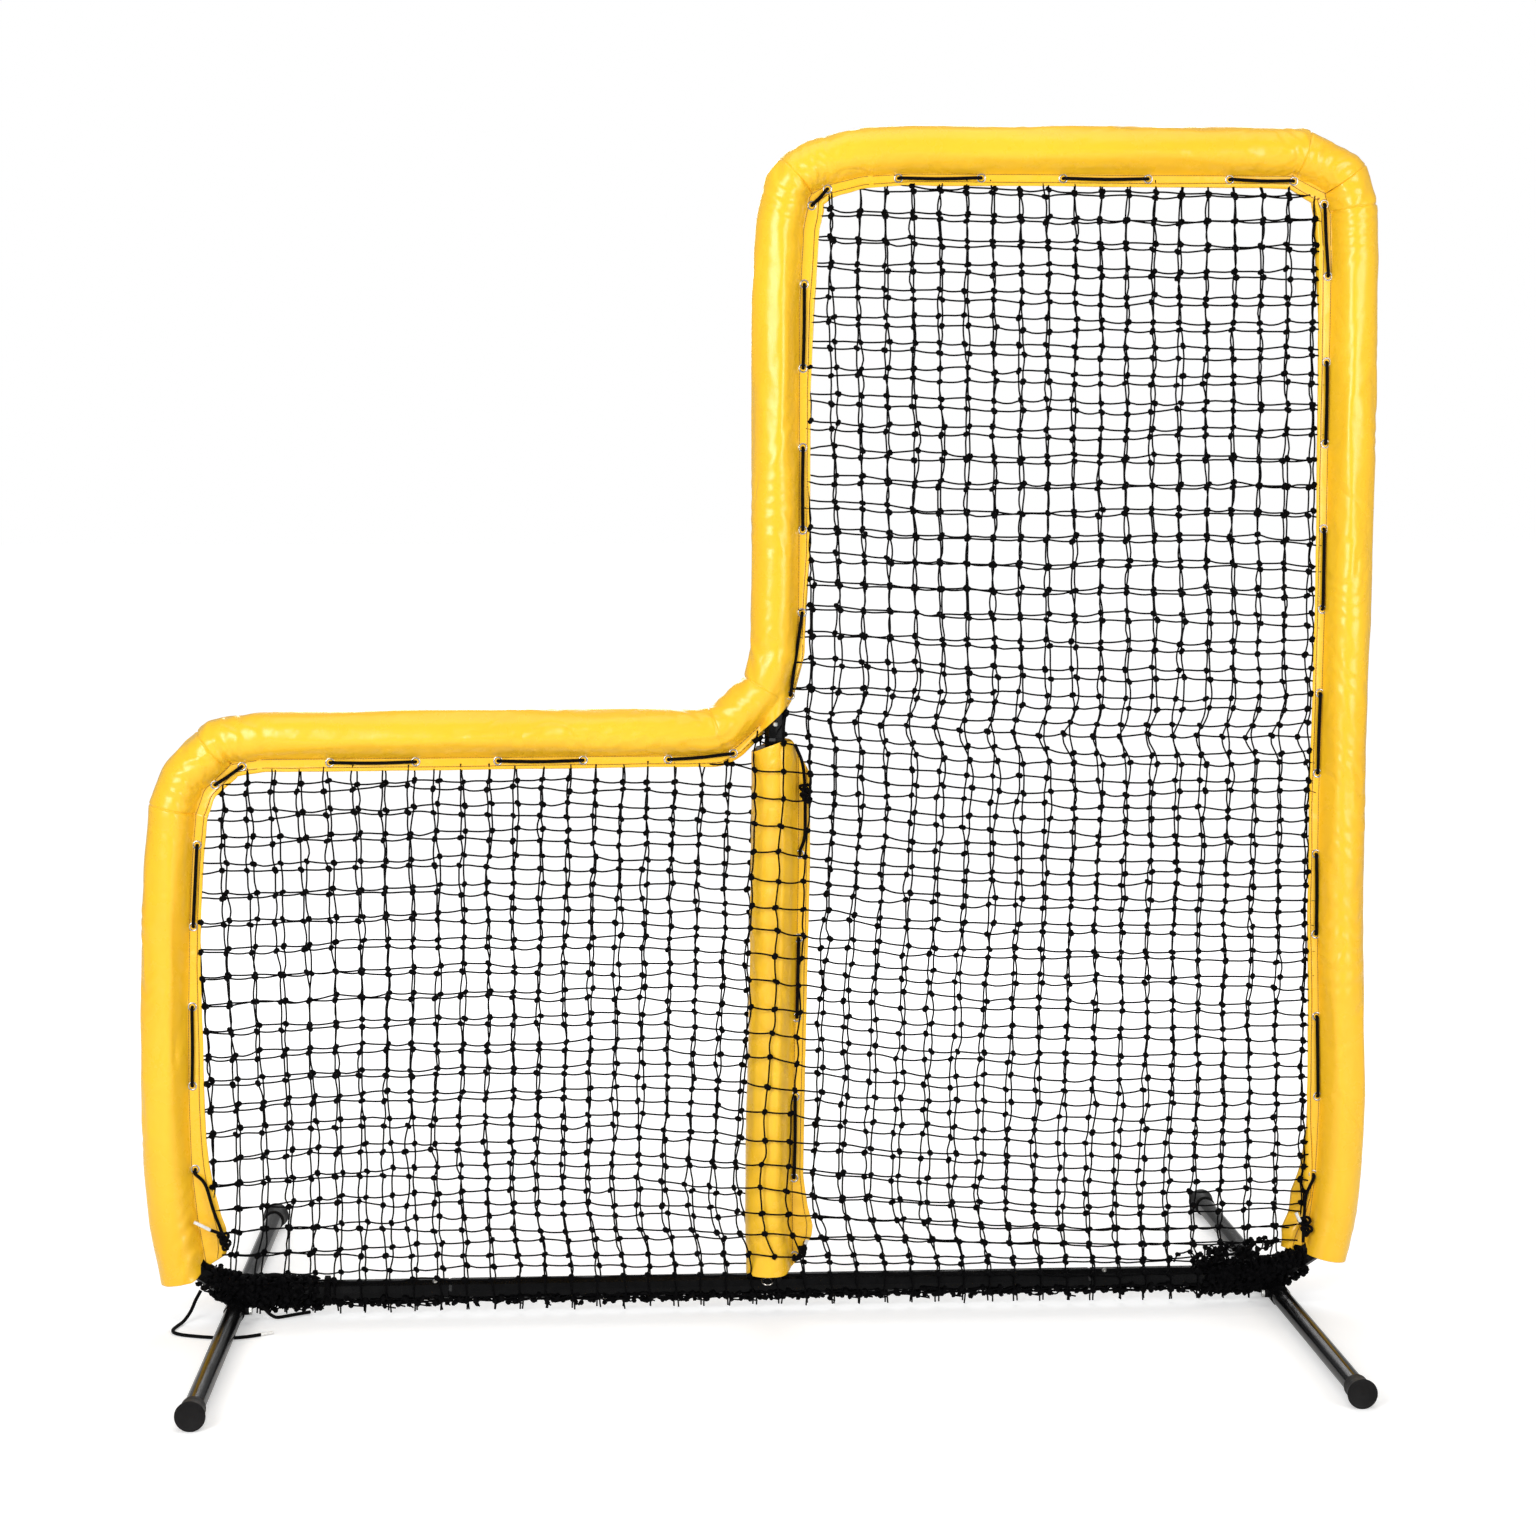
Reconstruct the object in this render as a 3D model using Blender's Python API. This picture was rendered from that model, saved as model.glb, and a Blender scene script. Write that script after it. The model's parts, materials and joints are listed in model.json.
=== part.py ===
"""Baseball L screen: a bent steel tube kit with padded sleeves, a bag net and slide-in legs.

X is to the right, Y goes away from the batter's side and Z is up. The screen stands in the
plane Y = 0, and the origin lies on the floor under the middle of the frame.
All lengths are in metres and all angles in radians.
"""

import math

import bmesh
import bpy
from mathutils import Vector

# Frame
frame_width = 2.134
frame_top = 2.081
shoulder_top = 1.063
column_offset = 0.026
bend_radius = 0.150
tube_diameter = 0.0381
tube_wall = 0.00165
rail_rise = 0.0215
stub_weld_depth = 0.0005

# Slip joints between the tubes, and their spring buttons
splice_insertion = 0.050
splice_clearance = 0.0003
swage_taper = 0.006
rail_splice_left = 0.560
rail_splice_right = 0.600
left_splice_height = 0.600
right_splice_height = 1.250
shoulder_splice_reach = 0.500
upper_splice_height = 1.550
top_splice_reach = 0.530
column_foot_splice = 0.125
column_top_insertion = 0.042
stub_tip_gap = 0.0115
button_diameter = 0.0094
button_clearance = 0.0004
button_setback = 0.024
button_proud = 0.0035
button_dome_height = 0.0022
dome_waist_share = 0.766
dome_drop_share = 0.181
button_flange_diameter = 0.0112
button_flange_thickness = 0.0012
button_flange_drop = 0.0013
rail_button_elevation = math.radians(60)
spring_strip_width = 0.0085
spring_strip_thickness = 0.0008
spring_reach = 0.030
spring_tail = 0.004
spring_wall_gap = 0.0007

# Legs, sockets, set bolts and end caps
leg_inset = 0.132
leg_length = 0.6096
leg_diameter = 0.0349
leg_wall = 0.00165
leg_stop_gap = 0.036
leg_clearance = 0.0002
socket_diameter = 0.0381
socket_length = 0.130
bolt_from_middle = 0.045
bolt_diameter = 0.008
bolt_hole_clearance = 0.0003
bolt_head_across_flats = 0.013
bolt_head_height = 0.0053
bolt_head_chamfer = 0.0008
nut_across_flats = 0.013
nut_height = 0.0065
nut_weld_depth = 0.0007
cap_diameter = 0.0505
cap_collar_diameter = 0.0425
cap_length = 0.046
cap_base_length = 0.012
cap_flare_length = 0.014
cap_face_thickness = 0.0065
cap_edge_round = 0.003

# Padding
foam_diameter = 0.077
foam_hole_clearance = 0.0015
foam_end_setback = 0.006
sleeve_diameter = 0.085
sleeve_wall = 0.002
hem_reach = 0.060
hem_thickness = 0.005
sleeve_end_steps = 2
stub_slit_margin = 0.0015
seam_reach = 0.012

# Eyelets and lacing
eyelet_diameter = 0.015
eyelet_bore = 0.0078
eyelet_thickness = 0.0012
eyelet_line = 0.0515
eyelet_pitch = 0.147
eyelet_first_height = 0.274
eyelet_last_height = 0.232
eyelet_gap_left = 0.040
eyelet_gaps_shoulder = (0.139, 0.040)
eyelet_gaps_upper = (0.064, 0.083)
eyelet_gaps_top = (0.065, 0.071)
eyelet_gap_right = 0.068
left_corner_shares = (0.53, 0.92)
upper_left_corner_shares = (0.35, 0.60)
upper_right_corner_shares = (0.25, 0.62)
inner_eyelet_angles = (math.radians(23), math.radians(66))
column_eyelet_first = 0.095
column_eyelet_last = 0.824
lace_diameter = 0.006
lace_gap = 0.0012
stub_lace_margin = 0.0075

# Net
twine_width = 0.004
net_columns = 5
net_rows = 5
net_gap = 0.0005
net_sleeve_gap = 0.002
net_turn_gap = 0.003
net_layer_gap = 0.001
net_lap_angle = math.radians(60)
net_corner_inset = 0.187
gather_diameter = 0.060
gather_inset = 0.162
tie_inset = 0.292
tie_width = 0.010
tie_thickness = 0.0025
gather_first_step = 1
gather_start_share = 0.12

# Loose lace ends
loose_lace_diameter = 0.0062
thick_lace_diameter = 0.008
route_step_share = 2.5

# Drawing
mesh_gap = 0.0003
tube_sides = 10
bend_steps = 4
sleeve_sides = 11
cap_sides = 16
small_sides = 8
eyelet_sides = 6
bolt_sides = 12
hexagon_sides = 6
foam_sides = 8
cut_overrun = 0.004
merge_distance = 0.00001

# Places that follow from the sizes above
tube_radius = tube_diameter / 2
facet_share = math.cos(math.pi / tube_sides)
left_x = -(frame_width / 2 - tube_radius)
right_x = frame_width / 2 - tube_radius
leg_axis_z = cap_diameter / 2 * math.cos(math.pi / cap_sides)
rail_z = leg_axis_z + rail_rise
top_z = frame_top - tube_radius
shoulder_z = shoulder_top - tube_radius
sleeve_radius = sleeve_diameter / 2
male_radius = tube_radius - tube_wall - splice_clearance
leg_spread = frame_width / 2 - leg_inset
net_corner_reach = frame_width / 2 - net_corner_inset
gather_reach = frame_width / 2 - gather_inset
tie_from_middle = frame_width / 2 - tie_inset
column_z_start = rail_z + tube_radius
inner_bend_centre = (column_offset - bend_radius, shoulder_z + bend_radius)
bend_over_column = math.sqrt((bend_radius + tube_radius) ** 2 - (bend_radius - male_radius) ** 2)
column_top_splice = inner_bend_centre[1] - bend_over_column - stub_tip_gap - column_top_insertion
inner_hem_radius = bend_radius + hem_reach
net_lap_reach = (tube_radius + net_gap + twine_width / 2) / math.cos(net_lap_angle / 2)
column_sleeve_top = inner_bend_centre[1] - math.sqrt(
    (inner_hem_radius + mesh_gap) ** 2 - (bend_radius - sleeve_radius) ** 2
)


def clear_scene():
    for scene_object in list(bpy.data.objects):
        bpy.data.objects.remove(scene_object, do_unlink=True)


def make_material(name, colour, roughness, metallic=0.0):
    material = bpy.data.materials.new(name)
    material.use_nodes = True
    shader = material.node_tree.nodes["Principled BSDF"]
    shader.inputs["Base Color"].default_value = (*colour, 1.0)
    shader.inputs["Roughness"].default_value = roughness
    shader.inputs["Metallic"].default_value = metallic
    return material


def make_materials():
    return {
        "powder_coat": make_material("black_powder_coat", (0.012, 0.012, 0.013), 0.22),
        "rubber": make_material("black_rubber", (0.018, 0.018, 0.018), 0.75),
        "zinc": make_material("zinc_steel", (0.62, 0.62, 0.60), 0.35, 1.0),
        "spring_steel": make_material("spring_steel", (0.35, 0.36, 0.38), 0.35, 1.0),
        "vinyl": make_material("yellow_vinyl", (0.90, 0.52, 0.02), 0.42),
        "foam": make_material("grey_foam", (0.20, 0.20, 0.21), 0.9),
        "nickel": make_material("nickel_eyelet", (0.72, 0.71, 0.68), 0.25, 1.0),
        "cord": make_material("black_cord", (0.012, 0.011, 0.012), 0.7),
        "twine": make_material("black_twine", (0.010, 0.010, 0.011), 0.8),
    }


def finish_object(name, mesh_builder, material):
    bmesh.ops.recalc_face_normals(mesh_builder, faces=mesh_builder.faces)
    mesh = bpy.data.meshes.new(name)
    mesh_builder.to_mesh(mesh)
    mesh_builder.free()
    mesh.shade_smooth()
    mesh.set_sharp_from_angle(angle=math.radians(35))
    made = bpy.data.objects.new(name, mesh)
    made.data.materials.append(material)
    bpy.context.scene.collection.objects.link(made)
    return made


def apply_boolean(target, other, operation):
    """Cut another piece away from the target or join it on, and remove the other piece."""
    modifier = target.modifiers.new("combine", "BOOLEAN")
    modifier.object = other
    modifier.operation = operation
    modifier.solver = "EXACT"
    graph = bpy.context.evaluated_depsgraph_get()
    old_mesh = target.data
    target.data = bpy.data.meshes.new_from_object(target.evaluated_get(graph))
    target.modifiers.clear()
    bpy.data.meshes.remove(old_mesh)
    builder = bmesh.new()
    builder.from_mesh(target.data)
    bmesh.ops.remove_doubles(builder, verts=builder.verts, dist=merge_distance)
    builder.to_mesh(target.data)
    builder.free()
    bpy.data.objects.remove(other, do_unlink=True)


# Paths in the plane of the screen are lists of (x, z) points.


def bend_points(centre, radius, start_angle, end_angle, steps=bend_steps):
    points = []
    for step in range(steps + 1):
        angle = start_angle + (end_angle - start_angle) * step / steps
        points.append((centre[0] + radius * math.cos(angle), centre[1] + radius * math.sin(angle)))
    return points


def path_normals(path):
    """Mitred normals that point to the right of the way the path runs."""
    directions = []
    for first, second in zip(path, path[1:]):
        direction = Vector((second[0] - first[0], second[1] - first[1]))
        directions.append(direction.normalized())
    normals = []
    for index in range(len(path)):
        before = directions[max(index - 1, 0)]
        after = directions[min(index, len(directions) - 1)]
        middle = (before + after).normalized()
        stretch = 1 / middle.dot(after)
        normals.append((middle[1] * stretch, -middle[0] * stretch))
    return normals


def circle_section(radius, sides=tube_sides):
    section = []
    for side in range(sides):
        angle = (side + 0.5) * 2 * math.pi / sides
        section.append((radius * math.cos(angle), radius * math.sin(angle)))
    return section


def hem_section(radius, with_hem):
    """A sleeve's outline: most of a circle and, on its outer skin, the hem on the net side."""
    start = math.asin(hem_thickness / 2 / sleeve_radius)
    section = []
    for side in range(sleeve_sides):
        angle = start + (2 * math.pi - 2 * start) * side / (sleeve_sides - 1)
        section.append((radius * math.cos(angle), radius * math.sin(angle)))
    if with_hem:
        section.append((hem_reach, -hem_thickness / 2))
        section.append((hem_reach, hem_thickness / 2))
    return section


def section_rows(builder, path, sections):
    rows = []
    for point, normal, section in zip(path, path_normals(path), sections):
        row = []
        for across, depth in section:
            place = (point[0] + normal[0] * across, depth, point[1] + normal[1] * across)
            row.append(builder.verts.new(place))
        rows.append(row)
    for row, next_row in zip(rows, rows[1:]):
        for index in range(len(row)):
            after = (index + 1) % len(row)
            builder.faces.new((row[index], row[after], next_row[after], next_row[index]))
    return rows


def hollow_sweep(name, path, outer_sections, inner_sections, material):
    builder = bmesh.new()
    outer_rows = section_rows(builder, path, outer_sections)
    inner_rows = section_rows(builder, path, inner_sections)
    for outer, inner in ((outer_rows[0], inner_rows[0]), (outer_rows[-1], inner_rows[-1])):
        shared = len(inner)
        for index in range(shared - 1):
            builder.faces.new((outer[index], outer[index + 1], inner[index + 1], inner[index]))
        builder.faces.new(outer[shared - 1 :] + [outer[0], inner[0], inner[shared - 1]])
    return finish_object(name, builder, material)


def hollow_tube(name, path, radii, material, sides=tube_sides):
    """A tube along the path, with an outer and an inner radius at each point."""
    outer = [circle_section(outer_radius, sides) for outer_radius, _ in radii]
    inner = [circle_section(inner_radius, sides) for _, inner_radius in radii]
    return hollow_sweep(name, path, outer, inner, material)


def solid_rod(name, path, radius, material, sides=tube_sides):
    builder = bmesh.new()
    rows = section_rows(builder, path, [circle_section(radius, sides)] * len(path))
    builder.faces.new(rows[0])
    builder.faces.new(rows[-1])
    return finish_object(name, builder, material)


def axis_frame(direction):
    along = Vector(direction).normalized()
    helper = Vector((0, 0, 1)) if abs(along.z) < 0.9 else Vector((0, 1, 0))
    side = helper.cross(along).normalized()
    return along, side, along.cross(side)


def turned_builder(builder, profile, origin, direction, sides, turn=0.5):
    """Turn a closed profile of (radius, distance, is_hexagon) about an axis."""
    along, side, up = axis_frame(direction)
    rows = []
    for radius, distance, is_hexagon in profile:
        centre = Vector(origin) + along * distance
        if radius == 0:
            rows.append([builder.verts.new(centre)])
            continue
        row = []
        for index in range(sides):
            angle = (index + turn) * 2 * math.pi / sides
            reach = radius
            if is_hexagon and index % 2:
                reach = radius * math.cos(math.pi / hexagon_sides)
            row.append(builder.verts.new(centre + (side * math.cos(angle) + up * math.sin(angle)) * reach))
        rows.append(row)
    for row, next_row in zip(rows, rows[1:] + rows[:1]):
        if len(row) == 1 and len(next_row) == 1:
            continue
        for index in range(sides):
            after = (index + 1) % sides
            if len(row) == 1:
                builder.faces.new((row[0], next_row[after], next_row[index]))
            elif len(next_row) == 1:
                builder.faces.new((row[index], row[after], next_row[0]))
            else:
                builder.faces.new((row[index], row[after], next_row[after], next_row[index]))


def turned(name, profile, origin, direction, material, sides=tube_sides, turn=0.5):
    """A piece turned about the axis through its own origin."""
    builder = bmesh.new()
    turned_builder(builder, [(*point, False) for point in profile], (0, 0, 0), direction, sides, turn)
    made = finish_object(name, builder, material)
    made.location = origin
    return made


# Slip joints: where the outer tube's mouth is, the way into it, and how the button points.


def slip_joints():
    flat = 0.0
    return {
        "rail_left": ((-rail_splice_left, rail_z), (-1, 0), rail_button_elevation, splice_insertion),
        "rail_right": ((rail_splice_right, rail_z), (1, 0), rail_button_elevation, splice_insertion),
        "left_column": ((left_x, left_splice_height), (0, -1), flat, splice_insertion),
        "shoulder": ((-shoulder_splice_reach, shoulder_z), (-1, 0), flat, splice_insertion),
        "upper_column": ((column_offset, upper_splice_height), (0, -1), flat, splice_insertion),
        "top_bar": ((top_splice_reach, top_z), (-1, 0), flat, splice_insertion),
        "right_column": ((right_x, right_splice_height), (0, -1), flat, splice_insertion),
        "column_foot": ((column_offset, column_foot_splice), (0, -1), flat, splice_insertion),
        "column_top": ((column_offset, column_top_splice), (0, 1), flat, column_top_insertion),
    }


def button_place(joint):
    mouth, into, elevation, _ = joint
    centre = Vector((mouth[0] + into[0] * button_setback, 0, mouth[1] + into[1] * button_setback))
    if into[1]:
        return centre, Vector((0, -1, 0))
    return centre, Vector((0, -math.cos(elevation), math.sin(elevation)))


def male_start(joint):
    """Path points and radii of a swaged end, from its tip back to the full tube."""
    mouth, into, _, insertion = joint
    tip = (mouth[0] + into[0] * insertion, mouth[1] + into[1] * insertion)
    neck = (mouth[0] + into[0] * mesh_gap, mouth[1] + into[1] * mesh_gap)
    full = (mouth[0] - into[0] * swage_taper, mouth[1] - into[1] * swage_taper)
    small = (male_radius, male_radius - tube_wall)
    large = (tube_radius, tube_radius - tube_wall)
    return [tip, neck, full], [small, small, large]


def cut_button_hole(target, joint):
    centre, outwards = button_place(joint)
    hole_radius = button_diameter / 2 + button_clearance
    start = centre + outwards * (male_radius / 2)
    depth = tube_radius - male_radius / 2 + cut_overrun
    profile = [(0, 0), (hole_radius, 0), (hole_radius, depth), (0, depth)]
    cutter = turned("button_cutter", profile, start, outwards, target.data.materials[0], small_sides)
    apply_boolean(target, cutter, "DIFFERENCE")


def frame_section(name, male, corner, female, material):
    """A bent tube: a swaged tip, the straight and bent run, and the plain mouth at its far end."""
    points, radii = male_start(male) if male else ([], [])
    full = (tube_radius, tube_radius - tube_wall)
    run = corner + [female]
    return hollow_tube(name, points + run, radii + [full] * len(run), material)


def build_frame(joints, materials):
    paint = materials["powder_coat"]
    quarter = math.pi / 2
    left_low = (left_x + bend_radius, rail_z + bend_radius)
    left_high = (left_x + bend_radius, shoulder_z - bend_radius)
    upper_left = (column_offset + bend_radius, top_z - bend_radius)
    upper_right = (right_x - bend_radius, top_z - bend_radius)
    right_low = (right_x - bend_radius, rail_z + bend_radius)
    full = (tube_radius, tube_radius - tube_wall)

    foot_left = hollow_tube(
        "corner_bottom_left",
        [joints["rail_left"][0]]
        + bend_points(left_low, bend_radius, 3 * quarter, 2 * quarter)
        + [joints["left_column"][0]],
        [full] * (bend_steps + 3),
        paint,
    )
    foot_right = hollow_tube(
        "corner_bottom_right",
        [joints["rail_right"][0]]
        + bend_points(right_low, bend_radius, -quarter, 0)
        + [joints["right_column"][0]],
        [full] * (bend_steps + 3),
        paint,
    )
    left_shoulder = frame_section(
        "corner_left_shoulder",
        joints["left_column"],
        bend_points(left_high, bend_radius, 2 * quarter, quarter),
        joints["shoulder"][0],
        paint,
    )
    inner = frame_section(
        "corner_inner",
        joints["shoulder"],
        bend_points(inner_bend_centre, bend_radius, -quarter, 0),
        joints["upper_column"][0],
        paint,
    )
    top_left = frame_section(
        "corner_top_left",
        joints["upper_column"],
        bend_points(upper_left, bend_radius, 2 * quarter, quarter),
        joints["top_bar"][0],
        paint,
    )
    bar_tip, bar_radii = male_start(joints["top_bar"])
    column_tip, column_radii = male_start(joints["right_column"])
    top_right = hollow_tube(
        "corner_top_right",
        bar_tip + bend_points(upper_right, bend_radius, quarter, 0) + column_tip[::-1],
        bar_radii + [full] * (bend_steps + 1) + column_radii[::-1],
        paint,
    )
    left_tip, left_radii = male_start(joints["rail_left"])
    right_tip, right_radii = male_start(joints["rail_right"])
    rail = hollow_tube("bottom_rail", left_tip + right_tip[::-1], left_radii + right_radii[::-1], paint)
    foot_tip, foot_radii = male_start(joints["column_foot"])
    head_tip, head_radii = male_start(joints["column_top"])
    column = hollow_tube("centre_column", foot_tip + head_tip[::-1], foot_radii + head_radii[::-1], paint)

    rail_line = [(left_x, rail_z), (right_x, rail_z)]
    add_stub(rail, (column_offset, rail_z), joints["column_foot"][0], rail_line)
    inner_line = bend_points(inner_bend_centre, bend_radius, -quarter, 0) + [joints["upper_column"][0]]
    add_stub(inner, (column_offset, inner_bend_centre[1]), joints["column_top"][0], inner_line)
    for corner, side in ((foot_left, -1), (foot_right, 1)):
        add_leg_socket(corner, side)

    holes = {
        "rail_left": (foot_left, rail),
        "rail_right": (foot_right, rail),
        "left_column": (foot_left, left_shoulder),
        "shoulder": (left_shoulder, inner),
        "upper_column": (inner, top_left),
        "top_bar": (top_left, top_right),
        "right_column": (foot_right, top_right),
        "column_foot": (rail, column),
        "column_top": (inner, column),
    }
    for joint_name, sections in holes.items():
        for section in sections:
            cut_button_hole(section, joints[joint_name])


def add_stub(run, inner_end, mouth, run_path):
    """Weld a short tube onto a run: its end is coped to the run, whose wall stays whole."""
    paint = run.data.materials[0]
    full = (tube_radius, tube_radius - tube_wall)
    stub = hollow_tube("stub", [inner_end, mouth], [full, full], paint)
    cope = solid_rod("cope", run_path, tube_radius - stub_weld_depth, paint)
    apply_boolean(stub, cope, "DIFFERENCE")
    apply_boolean(run, stub, "UNION")


def socket_profile(outer_radius, inner_radius, half_length):
    return [
        (outer_radius, -half_length),
        (outer_radius, half_length),
        (inner_radius, half_length),
        (inner_radius, -half_length),
    ]


def add_leg_socket(corner, side):
    """The corner tube is notched over a cross tube that takes a leg at each end."""
    paint = corner.data.materials[0]
    centre = (side * leg_spread, 0, leg_axis_z)
    half = socket_length / 2
    cope_radius = socket_diameter / 2 - stub_weld_depth
    cope_profile = [(0, -half), (cope_radius, -half), (cope_radius, half), (0, half)]
    cope = turned("cope", cope_profile, centre, (0, 1, 0), paint)
    apply_boolean(corner, cope, "DIFFERENCE")
    bore = leg_diameter / 2 + leg_clearance
    socket = turned("socket", socket_profile(socket_diameter / 2, bore, half), centre, (0, 1, 0), paint)
    apply_boolean(corner, socket, "UNION")
    for end in (-1, 1):
        add_weld_nut(corner, (side * leg_spread, end * bolt_from_middle, leg_axis_z), (-side, 0, 0))


def build_buttons(joints, materials):
    inner_flat = (male_radius - tube_wall) * facet_share
    flange_top = inner_flat - button_flange_drop
    flange_back = flange_top - button_flange_thickness
    crown = tube_radius * facet_share + button_proud
    head_radius = button_diameter / 2
    flange_radius = button_flange_diameter / 2
    profile = [
        (0, flange_back),
        (flange_radius, flange_back),
        (flange_radius, flange_top),
        (head_radius, flange_top),
        (head_radius, crown - button_dome_height),
        (head_radius * dome_waist_share, crown - button_dome_height * dome_drop_share),
        (0, crown),
    ]
    for joint_name, joint in joints.items():
        centre, outwards = button_place(joint)
        turned("snap_button_" + joint_name, profile, centre, outwards, materials["zinc"], small_sides)
        add_spring(joint_name, joint, flange_back - mesh_gap, inner_flat - spring_wall_gap, materials)


def add_spring(joint_name, joint, top, bottom, materials):
    """A V of spring strip: one leaf under the button, the nose inside the tube, one leaf on the far wall."""
    builder = bmesh.new()
    _, into, _, _ = joint
    centre, outwards = button_place(joint)
    inwards = Vector((into[0], 0, into[1]))
    width = outwards.cross(inwards).normalized() * (spring_strip_width / 2)
    nose = spring_reach - spring_strip_thickness
    outline = [
        (-spring_tail, top),
        (spring_tail, top),
        (spring_reach, 0),
        (spring_tail, -bottom),
        (-spring_tail, -bottom),
        (-spring_tail, -bottom + spring_strip_thickness),
        (spring_tail, -bottom + spring_strip_thickness),
        (nose, 0),
        (spring_tail, top - spring_strip_thickness),
        (-spring_tail, top - spring_strip_thickness),
    ]
    tip_room = joint[3] - button_setback - spring_reach
    shift = min(0.0, tip_room)
    sides = []
    for sign in (-1, 1):
        loop = []
        for along, height in outline:
            scaled = along if along <= spring_tail else along + shift
            loop.append(builder.verts.new(centre + inwards * scaled + outwards * height + width * sign))
        sides.append(loop)
        builder.faces.new(loop)
    count = len(outline)
    for index in range(count):
        after = (index + 1) % count
        builder.faces.new((sides[0][index], sides[0][after], sides[1][after], sides[1][index]))
    finish_object("button_spring_" + joint_name, builder, materials["spring_steel"])


def leg_names():
    return [
        ("front_left", -1, -1),
        ("front_right", 1, -1),
        ("rear_left", -1, 1),
        ("rear_right", 1, 1),
    ]


def build_legs(materials):
    outer = leg_diameter / 2
    start = leg_stop_gap / 2
    end = start + leg_length
    bore = (outer + mesh_gap) / math.cos(math.pi / cap_sides)
    face = end + mesh_gap + cap_face_thickness
    mouth = face - cap_length
    collar = cap_collar_diameter / 2
    base = cap_diameter / 2
    cap_profile = [
        (0, face),
        (base - cap_edge_round, face),
        (base, face - cap_edge_round),
        (base, face - cap_base_length),
        (collar, face - cap_base_length - cap_flare_length),
        (collar, mouth),
        (bore, mouth),
        (bore, end + mesh_gap),
        (0, end + mesh_gap),
    ]
    tube_profile = [(outer, start), (outer, end), (outer - leg_wall, end), (outer - leg_wall, start)]
    for name, side, way in leg_names():
        centre = (side * leg_spread, 0, leg_axis_z)
        turned("leg_" + name, tube_profile, centre, (0, way, 0), materials["powder_coat"])
        cap = turned("end_cap_" + name, cap_profile, centre, (0, way, 0), materials["rubber"], cap_sides)
        cap.data.set_sharp_from_angle(angle=math.radians(50))


def hexagon_corner(across_flats):
    return across_flats / 2 / math.cos(math.pi / hexagon_sides)


def add_weld_nut(corner, origin, direction):
    """A nut welded to the socket, and the hole for the leg's set bolt through both."""
    paint = corner.data.materials[0]
    start = socket_diameter / 2 * facet_share - nut_weld_depth
    end = socket_diameter / 2 * facet_share + nut_height
    outer = hexagon_corner(nut_across_flats)
    profile = [(0, start), (outer, start), (outer, end), (0, end)]
    nut = turned("nut", profile, origin, direction, paint, hexagon_sides, 0)
    apply_boolean(corner, nut, "UNION")
    bore = hexagon_corner(bolt_diameter + 2 * bolt_hole_clearance)
    depth = end + cut_overrun
    bore_profile = [(0, leg_wall), (bore, leg_wall), (bore, depth), (0, depth)]
    cutter = turned("bolt_cutter", bore_profile, origin, direction, paint, hexagon_sides, 0)
    apply_boolean(corner, cutter, "DIFFERENCE")


def build_bolts(materials):
    shank = bolt_diameter / 2
    start = leg_diameter / 2 * facet_share + mesh_gap
    head_start = socket_diameter / 2 * facet_share + nut_height + mesh_gap
    head_end = head_start + bolt_head_height
    head_corner = hexagon_corner(bolt_head_across_flats)
    profile = [
        (0, start, False),
        (shank, start, False),
        (shank, head_start, False),
        (head_corner, head_start, True),
        (head_corner, head_end - bolt_head_chamfer, True),
        (head_corner - bolt_head_chamfer, head_end, True),
        (0, head_end, False),
    ]
    for name, side, way in leg_names():
        builder = bmesh.new()
        turned_builder(builder, profile, (0, 0, 0), (-side, 0, 0), bolt_sides, turn=0)
        bolt = finish_object("set_bolt_" + name, builder, materials["zinc"])
        bolt.location = (side * leg_spread, way * bolt_from_middle, leg_axis_z)


# Padding runs are named by the stretch of frame that they cover.


def sleeve_paths():
    quarter = math.pi / 2
    left_low = (left_x + bend_radius, rail_z + bend_radius)
    left_high = (left_x + bend_radius, shoulder_z - bend_radius)
    upper_left = (column_offset + bend_radius, top_z - bend_radius)
    upper_right = (right_x - bend_radius, top_z - bend_radius)
    right_low = (right_x - bend_radius, rail_z + bend_radius)
    end_angle = quarter * sleeve_end_steps / bend_steps
    next_start = seam_reach + mesh_gap
    return {
        "left": bend_points(left_low, bend_radius, math.pi + end_angle, math.pi, sleeve_end_steps)
        + bend_points(left_high, bend_radius, 2 * quarter, quarter)
        + [(left_high[0] + seam_reach, shoulder_z)],
        "shoulder": [(left_high[0] + next_start, shoulder_z)]
        + bend_points(inner_bend_centre, bend_radius, -quarter, 0)
        + [(column_offset, inner_bend_centre[1] + seam_reach)],
        "upper_column": [(column_offset, inner_bend_centre[1] + next_start)]
        + bend_points(upper_left, bend_radius, 2 * quarter, quarter)
        + [(upper_left[0] + seam_reach, top_z)],
        "top": [(upper_left[0] + next_start, top_z)]
        + bend_points(upper_right, bend_radius, quarter, 0)
        + [(right_x, upper_right[1] - seam_reach)],
        "right": [(right_x, upper_right[1] - next_start)]
        + bend_points(right_low, bend_radius, 0, -end_angle, sleeve_end_steps),
        "centre_column": [(column_offset, column_z_start + mesh_gap), (column_offset, column_sleeve_top)],
    }


def stub_slit(material):
    """The room that the welded stub and the lace behind it need in the inner corner's padding."""
    low = (column_offset, column_top_splice - sleeve_radius)
    high = (column_offset, inner_bend_centre[1])
    return solid_rod("slit", [low, high], tube_radius + stub_slit_margin, material)


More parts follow.
